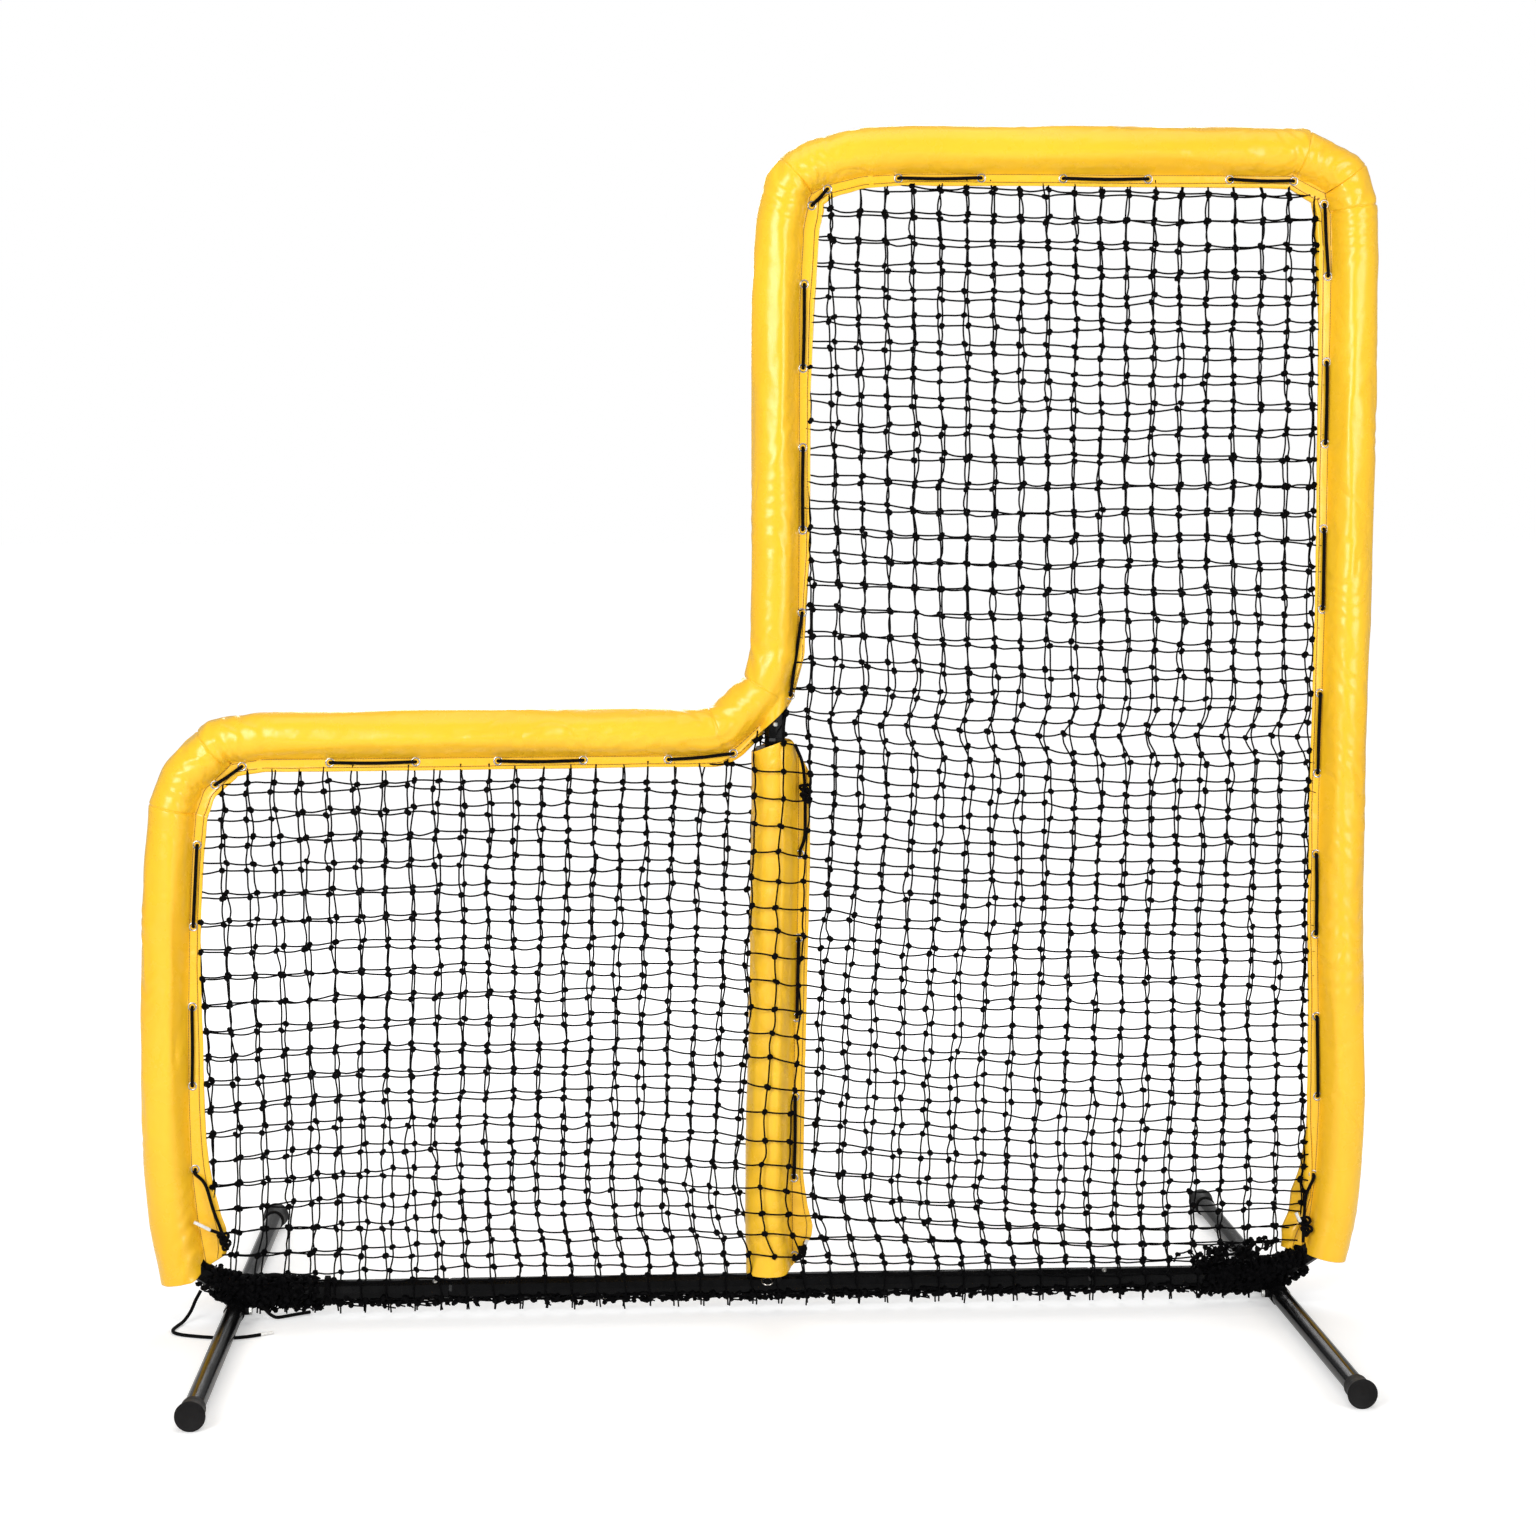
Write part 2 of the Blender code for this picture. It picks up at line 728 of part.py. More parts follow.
def eyelet_places():
    """Eyelets up to the centre column's stub, past the stub, and down the centre column."""
    quarter = math.pi / 2
    left_high = (left_x + bend_radius, shoulder_z - bend_radius)
    upper_left = (column_offset + bend_radius, top_z - bend_radius)
    upper_right = (right_x - bend_radius, top_z - bend_radius)
    inner_x, inner_z = inner_bend_centre
    tight = bend_radius - eyelet_line
    wide = bend_radius + eyelet_line
    left = left_x + eyelet_line
    right = right_x - eyelet_line
    middle = column_offset + eyelet_line
    low = shoulder_z - eyelet_line
    high = top_z - eyelet_line
    first_inner, second_inner = inner_eyelet_angles
    shoulder_start, shoulder_end = eyelet_gaps_shoulder
    upper_start, upper_end = eyelet_gaps_upper
    top_start, top_end = eyelet_gaps_top
    before_stub = (
        spaced_places((left, eyelet_first_height), (left, left_high[1] - eyelet_gap_left))
        + corner_places(left_high, tight, 2 * quarter, quarter, left_corner_shares)
        + spaced_places((left_high[0] + shoulder_start, low), (inner_x - shoulder_end, low))
        + bend_points((inner_x, inner_z), wide, first_inner - quarter, first_inner - quarter, 1)[:1]
    )
    after_stub = (
        bend_points((inner_x, inner_z), wide, second_inner - quarter, second_inner - quarter, 1)[:1]
        + spaced_places((middle, inner_z + upper_start), (middle, upper_left[1] - upper_end))
        + corner_places(upper_left, tight, 2 * quarter, quarter, upper_left_corner_shares)
        + spaced_places((upper_left[0] + top_start, high), (upper_right[0] - top_end, high))
        + corner_places(upper_right, tight, quarter, 0, upper_right_corner_shares)
        + spaced_places((right, upper_right[1] - eyelet_gap_right), (right, eyelet_last_height))
    )
    column = spaced_places((middle, column_eyelet_first), (middle, column_eyelet_last))
    return before_stub, after_stub, column


def corner_places(centre, radius, start_angle, end_angle, shares):
    places = []
    for share in shares:
        angle = start_angle + (end_angle - start_angle) * share
        places.append((centre[0] + radius * math.cos(angle), centre[1] + radius * math.sin(angle)))
    return places


def spaced_places(start, end):
    """Places from start to end, as near the eyelet pitch as they come."""
    count = round(math.dist(start, end) / eyelet_pitch)
    places = []
    for index in range(count + 1):
        share = index / count
        places.append((start[0] + (end[0] - start[0]) * share, start[1] + (end[1] - start[1]) * share))
    return places


def eyelet_discs(places, radius, front, back, material):
    """A disc through the hem at each place, all in one cutter."""
    builder = bmesh.new()
    profile = [(0, front, False), (radius, front, False), (radius, back, False), (0, back, False)]
    for x, z in places:
        turned_builder(builder, profile, (x, 0, z), (0, 1, 0), eyelet_sides)
    return finish_object("discs", builder, material)


def build_sleeves(materials, eyelets):
    """The sleeves, with eyelets pressed into their hems."""
    vinyl = materials["vinyl"]
    half = hem_thickness / 2
    reach = half + cut_overrun
    for name, path in sleeve_paths().items():
        outer = [hem_section(sleeve_radius, True)] * len(path)
        inner = [hem_section(sleeve_radius - sleeve_wall, False)] * len(path)
        sleeve = hollow_sweep("sleeve_" + name, path, outer, inner, vinyl)
        if name == "shoulder":
            apply_boolean(sleeve, stub_slit(vinyl), "DIFFERENCE")
        carried = [place for place in eyelets if distance_to_path(place, path) < eyelet_line + mesh_gap]
        washers = eyelet_discs(carried, eyelet_diameter / 2, -half - eyelet_thickness, half / 2, vinyl)
        apply_boolean(sleeve, washers, "UNION")
        holes = eyelet_discs(carried, eyelet_bore / 2, -reach, reach, vinyl)
        apply_boolean(sleeve, holes, "DIFFERENCE")


def distance_to_path(place, path):
    nearest = math.inf
    for first, second in zip(path, path[1:]):
        start = Vector(first)
        run = Vector(second) - start
        share = (Vector(place) - start).dot(run) / run.length_squared
        share = max(0, min(1, share))
        nearest = min(nearest, (start + run * share - Vector(place)).length)
    return nearest


def build_foam(materials, joints):
    """Foam tubes inside the sleeves, each with holes over the spring buttons it covers."""
    radii = (foam_diameter / 2, (tube_radius + mesh_gap) / math.cos(math.pi / foam_sides))
    for name, path in sleeve_paths().items():
        run = list(path)
        if name == "left":
            run = path[sleeve_end_steps:]
            run[0] = (run[0][0], run[0][1] + foam_end_setback)
        if name == "right":
            run = path[:-sleeve_end_steps]
            run[-1] = (run[-1][0], run[-1][1] + foam_end_setback)
        foam = hollow_tube("foam_" + name, run, [radii] * len(run), materials["foam"], foam_sides)
        if name == "shoulder":
            apply_boolean(foam, stub_slit(materials["foam"]), "DIFFERENCE")
        for joint in joints.values():
            if distance_to_path(joint[0], run) < tube_radius:
                cut_foam_hole(foam, joint)


def cut_foam_hole(foam, joint):
    centre, outwards = button_place(joint)
    radius = button_diameter / 2 + foam_hole_clearance
    profile = [(0, 0), (radius, 0), (radius, foam_diameter), (0, foam_diameter)]
    cutter = turned("foam_cutter", profile, centre, outwards, foam.data.materials[0], small_sides)
    apply_boolean(foam, cutter, "DIFFERENCE")


def tube_curve(name, points, radius, material, resolution=1, swellings=None):
    curve = bpy.data.curves.new(name, "CURVE")
    curve.dimensions = "3D"
    curve.bevel_depth = radius
    curve.bevel_resolution = resolution
    curve.use_fill_caps = True
    spline = curve.splines.new("POLY")
    spline.points.add(len(points) - 1)
    for index, point in enumerate(points):
        spline.points[index].co = (*point, 1)
        spline.points[index].radius = swellings[index] if swellings else 1
    made = bpy.data.objects.new(name, curve)
    made.data.materials.append(material)
    bpy.context.scene.collection.objects.link(made)
    return made


def laced_points(places, starts_in_front=True):
    """A lace that runs from eyelet to eyelet, in turn on the front and on the back of the hem."""
    depth = hem_thickness / 2 + eyelet_thickness + lace_gap + lace_diameter / 2
    points = []
    side = -depth if starts_in_front else depth
    for place in places:
        points.append((place[0], side, place[1]))
        side = -side
        points.append((place[0], side, place[1]))
    return points


def build_laces(materials, before_stub, after_stub, column):
    behind_stub = (column_offset, tube_radius + stub_lace_margin, column_top_splice + sleeve_radius / 2)
    round_screen = (
        left_lace_end
        + with_thickness(laced_points(before_stub) + [behind_stub] + laced_points(after_stub, False))
        + right_lace_end
    )
    lace_curve("lace_round_screen", round_screen, materials)
    up_column = foot_lace_end + with_thickness(laced_points(column)) + head_lace_end
    lace_curve("lace_centre_column", up_column, materials)


def with_thickness(points):
    return [(*point, 1) for point in points]


def lace_curve(name, points, materials):
    places = [point[:3] for point in points]
    thickness_shares = [point[3] for point in points]
    tube_curve(name, places, lace_diameter / 2, materials["cord"], 1, thickness_shares)


# The net's two layers meet inside the hems and part round the rail and the centre column.


def net_depth(share):
    """How far each layer stands from the screen's middle plane, from a hem to the centre column."""
    edge = net_layer_gap / 2 + twine_width / 2
    column = sleeve_radius + net_sleeve_gap + twine_width / 2
    return edge + (column - edge) * share


def net_heights(side):
    """Heights of the rows above the rail: level with the shoulder there is one row at the column's top."""
    inset = hem_reach + net_gap + twine_width / 2
    if side < 0:
        return even_steps(rail_z, shoulder_z - inset, net_rows)
    level = column_sleeve_top + twine_width
    return even_steps(rail_z, level, net_rows) + even_steps(level, top_z - inset, net_rows)


def even_steps(start, end, count):
    return [start + (end - start) * (step + 1) / count for step in range(count)]


def net_grid(side):
    """Rows of crossings (x, depth, z) for one bay, from under the rail up to the top hem."""
    inset = hem_reach + net_gap + twine_width / 2
    inside = bend_radius - inset
    corner_drop = inside - (inside - twine_width) * math.cos(math.pi / 4)
    middle_x = column_offset + side * (net_gap + twine_width) / 2
    outer_x = side * (right_x - inset)
    heights = net_heights(side)
    grid = net_foot_rows(side, middle_x)
    for height in heights:
        above = side > 0 and height > shoulder_z
        is_top = height == heights[-1]
        crossings = []
        for column in range(net_columns + 1):
            share = column / net_columns
            inner_x = column_offset + inset + net_turn_gap if above else middle_x
            x = outer_x + (inner_x - outer_x) * share
            z = height
            in_front_of_column = column == net_columns and not above
            if is_top and not in_front_of_column and column in (0, net_columns):
                x += corner_drop if column else -side * corner_drop
                z -= corner_drop
            at_hem = above or is_top
            crossings.append((x, net_depth(0 if at_hem and not in_front_of_column else share), z))
        grid.append(crossings)
    return grid


def net_foot_rows(side, middle_x):
    """Rows of crossings that lap round the rail, and at the middle stand clear of the centre sleeve."""
    start = side * net_corner_reach
    shares = [column / net_columns for column in range(net_columns + 1)]
    across, down = net_lap()
    under = [(across, rail_z - down) for _ in shares]
    beside = [(net_lap_reach, rail_z) for _ in shares]
    over = [(across, rail_z + down) for _ in shares[1:]] + [(net_depth(1), column_z_start)]
    return [
        [(start + (middle_x - start) * share, *place) for share, place in zip(shares, row)]
        for row in (under, beside, over)
    ]


def net_lap():
    """Where the crossings above and below the rail lie, across and down from its axis."""
    return net_lap_reach * math.cos(net_lap_angle), net_lap_reach * math.sin(net_lap_angle)


def net_bag(name, grid, material):
    """Two layers of square twine, joined to each other along the hems and under the rail."""
    builder = bmesh.new()
    half = twine_width / 2
    corners = ((-1, -1), (1, -1), (1, 1), (-1, 1))
    last_row = len(grid) - 1
    rows = [sorted(crossings) for crossings in grid]
    layers = []
    for layer in (-1, 1):
        nodes = []
        for crossings in rows:
            row = []
            for x, depth, z in crossings:
                faces = []
                for face_side in (1, -1):
                    y = layer * (depth + face_side * half)
                    faces.append([builder.verts.new((x + a * half, y, z + b * half)) for a, b in corners])
                row.append(faces)
            nodes.append(row)
        layers.append(nodes)
        add_net_layer(builder, nodes)
    front, back = layers
    for r in range(last_row + 1):
        for c in range(net_columns + 1):
            if r == 0 or rows[r][c][1] == net_depth(0):
                join_quads(builder, front[r][c][1], back[r][c][1])
            else:
                builder.faces.new(front[r][c][1])
                builder.faces.new(back[r][c][1])
    return finish_object(name, builder, material)


def join_quads(builder, first, second):
    for index in range(len(first)):
        after = (index + 1) % len(first)
        builder.faces.new((first[index], first[after], second[after], second[index]))


def add_net_layer(builder, nodes):
    """The outer face of each crossing, the twines between crossings and the ends at the layer's edge."""
    last_row = len(nodes) - 1
    last_column = len(nodes[0]) - 1
    for r, row in enumerate(nodes):
        for c, (outer, inner) in enumerate(row):
            builder.faces.new(outer)
            if c < last_column:
                add_twine(builder, (outer, inner), row[c + 1], (1, 2), (0, 3))
            if r < last_row:
                add_twine(builder, (outer, inner), nodes[r + 1][c], (3, 2), (0, 1))
            for is_edge, (first, second) in (
                (c == 0, (0, 3)),
                (c == last_column, (1, 2)),
                (r == 0, (0, 1)),
                (r == last_row, (3, 2)),
            ):
                if is_edge:
                    builder.faces.new((outer[first], outer[second], inner[second], inner[first]))


def add_twine(builder, node, other, ends, other_ends):
    outer, inner = node
    other_outer, other_inner = other
    first, second = ends
    other_first, other_second = other_ends
    builder.faces.new((outer[first], outer[second], other_outer[other_second], other_outer[other_first]))
    builder.faces.new((inner[first], inner[second], other_inner[other_second], other_inner[other_first]))
    builder.faces.new((outer[first], inner[first], other_inner[other_first], other_outer[other_first]))
    builder.faces.new((outer[second], inner[second], other_inner[other_second], other_outer[other_second]))


def build_net(materials):
    for bay, side in (("left", -1), ("right", 1)):
        net_bag("net_" + bay + "_bay", net_grid(side), materials["twine"])


def build_gathers(materials):
    """The net's slack, bunched round each bottom corner of the frame, and its tie round the rail."""
    twine = materials["twine"]
    radii = (gather_diameter / 2, tube_radius + mesh_gap)
    for name, side in (("left", -1), ("right", 1)):
        centre_x = right_x - bend_radius
        path = []
        for x, z in bend_points((centre_x, rail_z + bend_radius), bend_radius, 0, -math.pi / 2):
            path.append((side * x, z))
        path = path[gather_first_step:]
        path[0] = tuple(Vector(path[0]).lerp(Vector(path[1]), gather_start_share))
        last, foot = path[-2], path[-1]
        share = (gather_reach - abs(last[0])) / (abs(foot[0]) - abs(last[0]))
        path[-1] = (side * gather_reach, last[1] + (foot[1] - last[1]) * share)
        gather = hollow_tube("net_gather_" + name, path, [radii] * len(path), twine)
        reach = socket_length / 2 + cut_overrun
        radius = socket_diameter / 2 + mesh_gap
        origin = (side * leg_spread, 0, leg_axis_z)
        profile = [(0, -reach), (radius, -reach), (radius, reach), (0, reach)]
        cutter = turned("socket_cutter", profile, origin, (0, 1, 0), twine)
        apply_boolean(gather, cutter, "DIFFERENCE")
    across, down = net_lap()
    tie_bore = (math.hypot(across + twine_width / 2, down + twine_width / 2) + mesh_gap) / facet_share
    tie_radii = (tie_bore + tie_thickness, tie_bore)
    left_end = (-tie_from_middle - tie_width / 2, rail_z)
    right_end = (-tie_from_middle + tie_width / 2, rail_z)
    hollow_tube("net_tie", [left_end, right_end], [tie_radii, tie_radii], twine)


# Lace ends, as points chosen by hand: x, y, z and the thickness, which swells at a knot.

left_lace_end = [
    (-0.9500, -0.0145, 0.1270, 1),
    (-0.9520, -0.0145, 0.1350, 1),
    (-0.9545, -0.0145, 0.1420, 2.6),
    (-0.9590, -0.0140, 0.1560, 2.6),
    (-0.9615, -0.0135, 0.1630, 1),
    (-0.9740, -0.0110, 0.1980, 1),
    (-0.9880, -0.0080, 0.2450, 1),
]
right_lace_end = [
    (0.9925, -0.0080, 0.1950, 1),
    (0.9890, -0.0125, 0.1620, 1),
    (0.9880, -0.0145, 0.1550, 2.6),
    (0.9858, -0.0210, 0.1410, 2.6),
    (0.9850, -0.0255, 0.1340, 1),
    (0.9820, -0.0350, 0.1150, 1),
]
foot_lace_end = [
    (0.0790, -0.0150, 0.1260, 1),
    (0.0788, -0.0150, 0.1190, 1),
    (0.0785, -0.0150, 0.1150, 2.4),
    (0.0780, -0.0150, 0.1040, 2.4),
    (0.0776, -0.0120, 0.0990, 1),
]
head_lace_end = [
    (0.0785, -0.0080, 0.8600, 1),
    (0.0790, -0.0120, 0.9210, 1),
    (0.0788, -0.0145, 0.9280, 2.6),
    (0.0780, -0.0145, 0.9460, 2.6),
    (0.0775, -0.0145, 0.9530, 1),
    (0.0760, -0.0145, 0.9650, 1),
]

# Loose ends of lace, each a route of points chosen by hand, with x from the end of the left gather.

floor_loop_route = [
    (-0.0949, -0.0044, 0.0516),
    (-0.1035, -0.0110, 0.0360),
    (-0.1110, -0.0220, 0.0190),
    (-0.1210, -0.0390, 0.0065),
    (-0.1300, -0.0600, 0.0034),
    (-0.1340, -0.0820, 0.0034),
    (-0.1290, -0.1000, 0.0034),
    (-0.1140, -0.1130, 0.0034),
    (-0.0930, -0.1220, 0.0034),
    (-0.0720, -0.1290, 0.0034),
    (-0.0470, -0.1350, 0.0034),
    (-0.0240, -0.1370, 0.0034),
    (-0.0010, -0.1320, 0.0034),
    (0.0200, -0.1220, 0.0034),
    (0.0420, -0.1090, 0.0034),
]
floor_end_route = [
    (-0.0033, -0.0170, 0.0270),
    (0.0100, -0.0175, 0.0262),
    (0.0190, -0.0185, 0.0200),
    (0.0280, -0.0190, 0.0105),
    (0.0390, -0.0170, 0.0040),
    (0.0520, -0.0110, 0.0034),
    (0.0660, -0.0020, 0.0034),
    (0.0810, 0.0065, 0.0034),
    (0.0960, 0.0150, 0.0034),
]
rail_end_route = [
    (0.0074, -0.0060, 0.0705),
    (0.0145, -0.0055, 0.0737),
    (0.0220, -0.0050, 0.0764),
    (0.0350, -0.0045, 0.0778),
    (0.0490, -0.0040, 0.0758),
    (0.0670, -0.0030, 0.0712),
]


def smooth_route(route, step):
    """Points about a step apart on a smooth curve through a route's own points."""
    ghosts = [[2 * a - b for a, b in zip(route[0], route[1])]] + [list(point) for point in route]
    ghosts.append([2 * a - b for a, b in zip(route[-1], route[-2])])
    points = []
    for index in range(1, len(ghosts) - 2):
        before, first, second, after = (Vector(ghosts[index + offset]) for offset in (-1, 0, 1, 2))
        pieces = max(1, round((second - first).length / step))
        for piece in range(pieces):
            t = piece / pieces
            curve = first * 2 + (second - before) * t
            curve += (before * 2 - first * 5 + second * 4 - after) * t * t
            curve += (first * 3 - before - second * 3 + after) * t**3
            points.append(tuple(curve / 2))
    points.append(tuple(route[-1]))
    return points


def build_loose_laces(materials):
    for name, route, diameter in (
        ("lace_floor_loop", floor_loop_route, loose_lace_diameter),
        ("lace_floor_end", floor_end_route, loose_lace_diameter),
        ("lace_rail_end", rail_end_route, thick_lace_diameter),
    ):
        placed = [(x - gather_reach, y, z) for x, y, z in route]
        points = smooth_route(placed, route_step_share * diameter)
        tube_curve(name, points, diameter / 2, materials["cord"], resolution=2)


def build_screen():
    clear_scene()
    materials = make_materials()
    joints = slip_joints()
    build_frame(joints, materials)
    build_buttons(joints, materials)
    build_legs(materials)
    build_bolts(materials)
    build_foam(materials, joints)
    before_stub, after_stub, column = eyelet_places()
    eyelets = before_stub + after_stub + column
    build_sleeves(materials, eyelets)
    build_laces(materials, before_stub, after_stub, column)
    build_net(materials)
    build_gathers(materials)
    build_loose_laces(materials)


build_screen()
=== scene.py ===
"""Looks of a baseball L screen: padded vinyl sleeves, lacing, a knotted bag net, gloss tubes and legs.

X is to the right, Y goes away from the viewer and Z is up, in metres.
"""

import json
import math

import bmesh
import bpy
import numpy as np
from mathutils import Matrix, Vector, noise


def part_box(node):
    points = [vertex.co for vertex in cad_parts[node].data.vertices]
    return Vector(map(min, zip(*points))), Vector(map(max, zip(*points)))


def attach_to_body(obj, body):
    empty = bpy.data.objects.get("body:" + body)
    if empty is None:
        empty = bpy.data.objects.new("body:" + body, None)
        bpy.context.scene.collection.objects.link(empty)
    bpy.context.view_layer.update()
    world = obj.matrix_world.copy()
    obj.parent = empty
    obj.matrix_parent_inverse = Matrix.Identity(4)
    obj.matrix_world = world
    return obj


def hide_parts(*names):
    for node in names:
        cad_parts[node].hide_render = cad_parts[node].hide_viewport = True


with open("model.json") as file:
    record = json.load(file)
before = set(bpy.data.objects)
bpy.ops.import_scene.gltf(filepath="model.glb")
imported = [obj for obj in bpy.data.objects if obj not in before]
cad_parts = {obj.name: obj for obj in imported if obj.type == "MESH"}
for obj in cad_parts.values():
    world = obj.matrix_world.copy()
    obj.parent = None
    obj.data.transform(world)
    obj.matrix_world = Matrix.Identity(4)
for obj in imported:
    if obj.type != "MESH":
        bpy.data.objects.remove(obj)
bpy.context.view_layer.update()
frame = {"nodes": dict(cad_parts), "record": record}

# Camera
lens_mm = 68.5
sensor_mm = 36.0
camera_place = (-0.2921, -5.1491, 1.4948)
camera_turn = (math.pi / 2 - 0.0993, 0.0005, -0.0594)

# Frame
frame_width = 2.134
frame_top = 2.081
shoulder_top = 1.063
column_x = 0.026
bend_radius = 0.150
tube_radius = 0.01905
left_x = tube_radius - frame_width / 2
right_x = -left_x
top_z = frame_top - tube_radius
shoulder_z = shoulder_top - tube_radius
leg_axis_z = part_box("leg_front_left")[0].z / 2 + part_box("leg_front_left")[1].z / 2
rail_rise = 0.0215
rail_z = leg_axis_z + rail_rise
inner_centre = Vector((column_x - bend_radius, shoulder_z + bend_radius))

# Padding
sleeve_radius = 0.0425
foam_outer = 0.0335
foam_inner = tube_radius + 0.0008
foam_setback = 0.012
foam_sides = 24
foam_rows = 90
hem_reach = 0.0605
hem_root = 0.0408
hem_half = 0.0017
hem_steps = [0.0605, 0.0598, 0.0560, 0.0536, 0.0530, 0.0480, 0.0445, hem_root]
hem_thicknesses = [0.0015, 0.0024, 0.0025, 0.0024, 0.0017, 0.0016, 0.0017, 0.0015]
drop_angle = math.radians(9)
drop_pull = 0.047
drop_taper = 0.55
row_step = 0.0060
round_steps = 38
flap_steps = len(hem_steps) - 1
seam_reach = 0.012
fan_window = 0.062
fold_back = 0.022
cut_reach = 0.11
post_reach = 0.0218
post_side = 0.028
seam_depth = 0.0024
seam_half_width = 0.0015
seam_rows = (-0.0045, -0.0026, -0.0012, 0.0, 0.0012, 0.0026, 0.0045)
seam_clearing = 0.0065
seam_hold = 0.003
fold_pitch = 0.041
fold_height = 0.0034
lump_height = 0.0022
ripple_height = 0.0008
pucker_height = 0.0026
hem_swell = 0.0032
hem_ripple = 0.0010
hem_lean = 0.0040
fold_rise = 0.78
fold_fall = 0.22
notch_half = 0.075
notch_depth = 0.005

# Stitches
stitch_pitch = 0.0048
stitch_margin = 0.006
thread_radius = 0.00055
stitch_lines = [(hem_root + 0.0008, hem_half), (hem_steps[3] + 0.0011, 0.0025)]
stitch_arch = [(0.0, -0.0002), (0.25, 0.0003), (0.6, 0.0003), (0.85, -0.0002)]

# Cloth
cloth_slack = 0.10
cloth_frames = 18
cloth_cap = 0.0050
cloth_sink = 0.0022
cloth_settings = {
    "quality": 5,
    "mass": 0.25,
    "tension_stiffness": 30,
    "compression_stiffness": 30,
    "shear_stiffness": 10,
    "bending_stiffness": 0.3,
    "tension_damping": 8,
    "compression_damping": 8,
    "shear_damping": 8,
    "air_damping": 3,
    "use_pressure": True,
    "uniform_pressure_force": 2.0,
    "vertex_group_mass": "held",
    "pin_stiffness": 1.0,
    "vertex_group_shrink": "slack",
    "shrink_min": 0.0,
    "shrink_max": -cloth_slack,
}

# Eyelets and lacing
eyelet_line = 0.0515
eyelet_pitch = 0.147
eyelet_outer = 0.0085
eyelet_bore = 0.0052
eyelet_height = 0.0012
lace_radius = 0.0030
loose_lace_diameter = 0.0062
thick_lace_diameter = 0.008

# Net
mesh_width = 0.0472
mesh_height = 0.0462
twine_radius = 0.0016
knot_radius = 0.0055
strand_pieces = 3
twine_sides = 5
net_tuck = 0.004
floor_gap = 0.0035
knot_shift = 0.0026
strand_bow = 0.0017
edge_thickness = 0.0032

# Legs
leg_wall = 0.0017
leg_edge = 0.0004
cap_clearance = 0.0002
bolt_head = 0.0053
bolt_radius = 0.0036
thread_height = 0.00035

leg_names = ("front_left", "front_right", "rear_left", "rear_right")


def add_camera():
    """The photograph's viewing point."""
    data = bpy.data.cameras.new("camera")
    data.lens = lens_mm
    data.sensor_width = sensor_mm
    camera = bpy.data.objects.new("camera", data)
    camera.location = camera_place
    camera.rotation_euler = camera_turn
    bpy.context.scene.collection.objects.link(camera)
    bpy.context.scene.camera = camera


# Meshes


def mesh_piece(name, points, faces, material, uvs=None):
    """A smooth piece of one material, with UVs for each corner of each face where they are given."""
    mesh = bpy.data.meshes.new(name)
    corners = [tuple(map(float, point)) for point in points]
    mesh.from_pydata(corners, [], [tuple(map(int, face)) for face in faces])
    mesh.shade_smooth()
    if uvs is not None:
        layer = mesh.uv_layers.new(name="UVMap")
        layer.data.foreach_set("uv", np.asarray(uvs, np.float32).ravel())
    mesh.materials.append(material)
    piece = bpy.data.objects.new(name, mesh)
    bpy.context.scene.collection.objects.link(piece)
    return piece


def attach(piece, body="screen", nodes=()):
    """The piece rides on a body, and may stand in for CAD nodes."""
    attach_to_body(piece, body)
    if nodes:
        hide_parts(*nodes)


def unit(rows):
    return rows / (np.linalg.norm(rows, axis=1)[:, None] + 1e-12)


def travelled(points):
    """How far along its line each point lies."""
    return np.concatenate([[0], np.cumsum(np.linalg.norm(np.diff(points, axis=0), axis=1))])


def catmull(points, pieces):
    """A smooth curve through the points, with a number of pieces between each two."""
    points = np.asarray(points, float)
    ghosts = np.vstack([2 * points[0] - points[1], points, 2 * points[-1] - points[-2]])
    made = []
    for before, first, second, after in zip(ghosts, ghosts[1:], ghosts[2:], ghosts[3:]):
        slope = second - before
        pull = before * 2 - first * 5 + second * 4 - after
        twist = first * 3 - before - second * 3 + after
        for piece in range(pieces):
            t = piece / pieces
            made.append((first * 2 + slope * t + pull * t * t + twist * t**3) / 2)
    made.append(points[-1])
    return np.array(made)


def ring_faces(rows, columns, start=0):
    """Quads between rows of corners, each row a closed ring."""
    faces = []
    for base in range(start, start + (rows - 1) * columns, columns):
        for index in range(columns):
            after = (index + 1) % columns
            faces.append((base + index, base + after, base + columns + after, base + columns + index))
    return faces


def ring_uvs(heights, columns):
    """UVs for those quads, once round for each row."""
    uvs = []
    for low, high in zip(heights, heights[1:]):
        for index in range(columns):
            left, right = index / columns, (index + 1) / columns
            uvs += [(left, low), (right, low), (right, high), (left, high)]
    return uvs


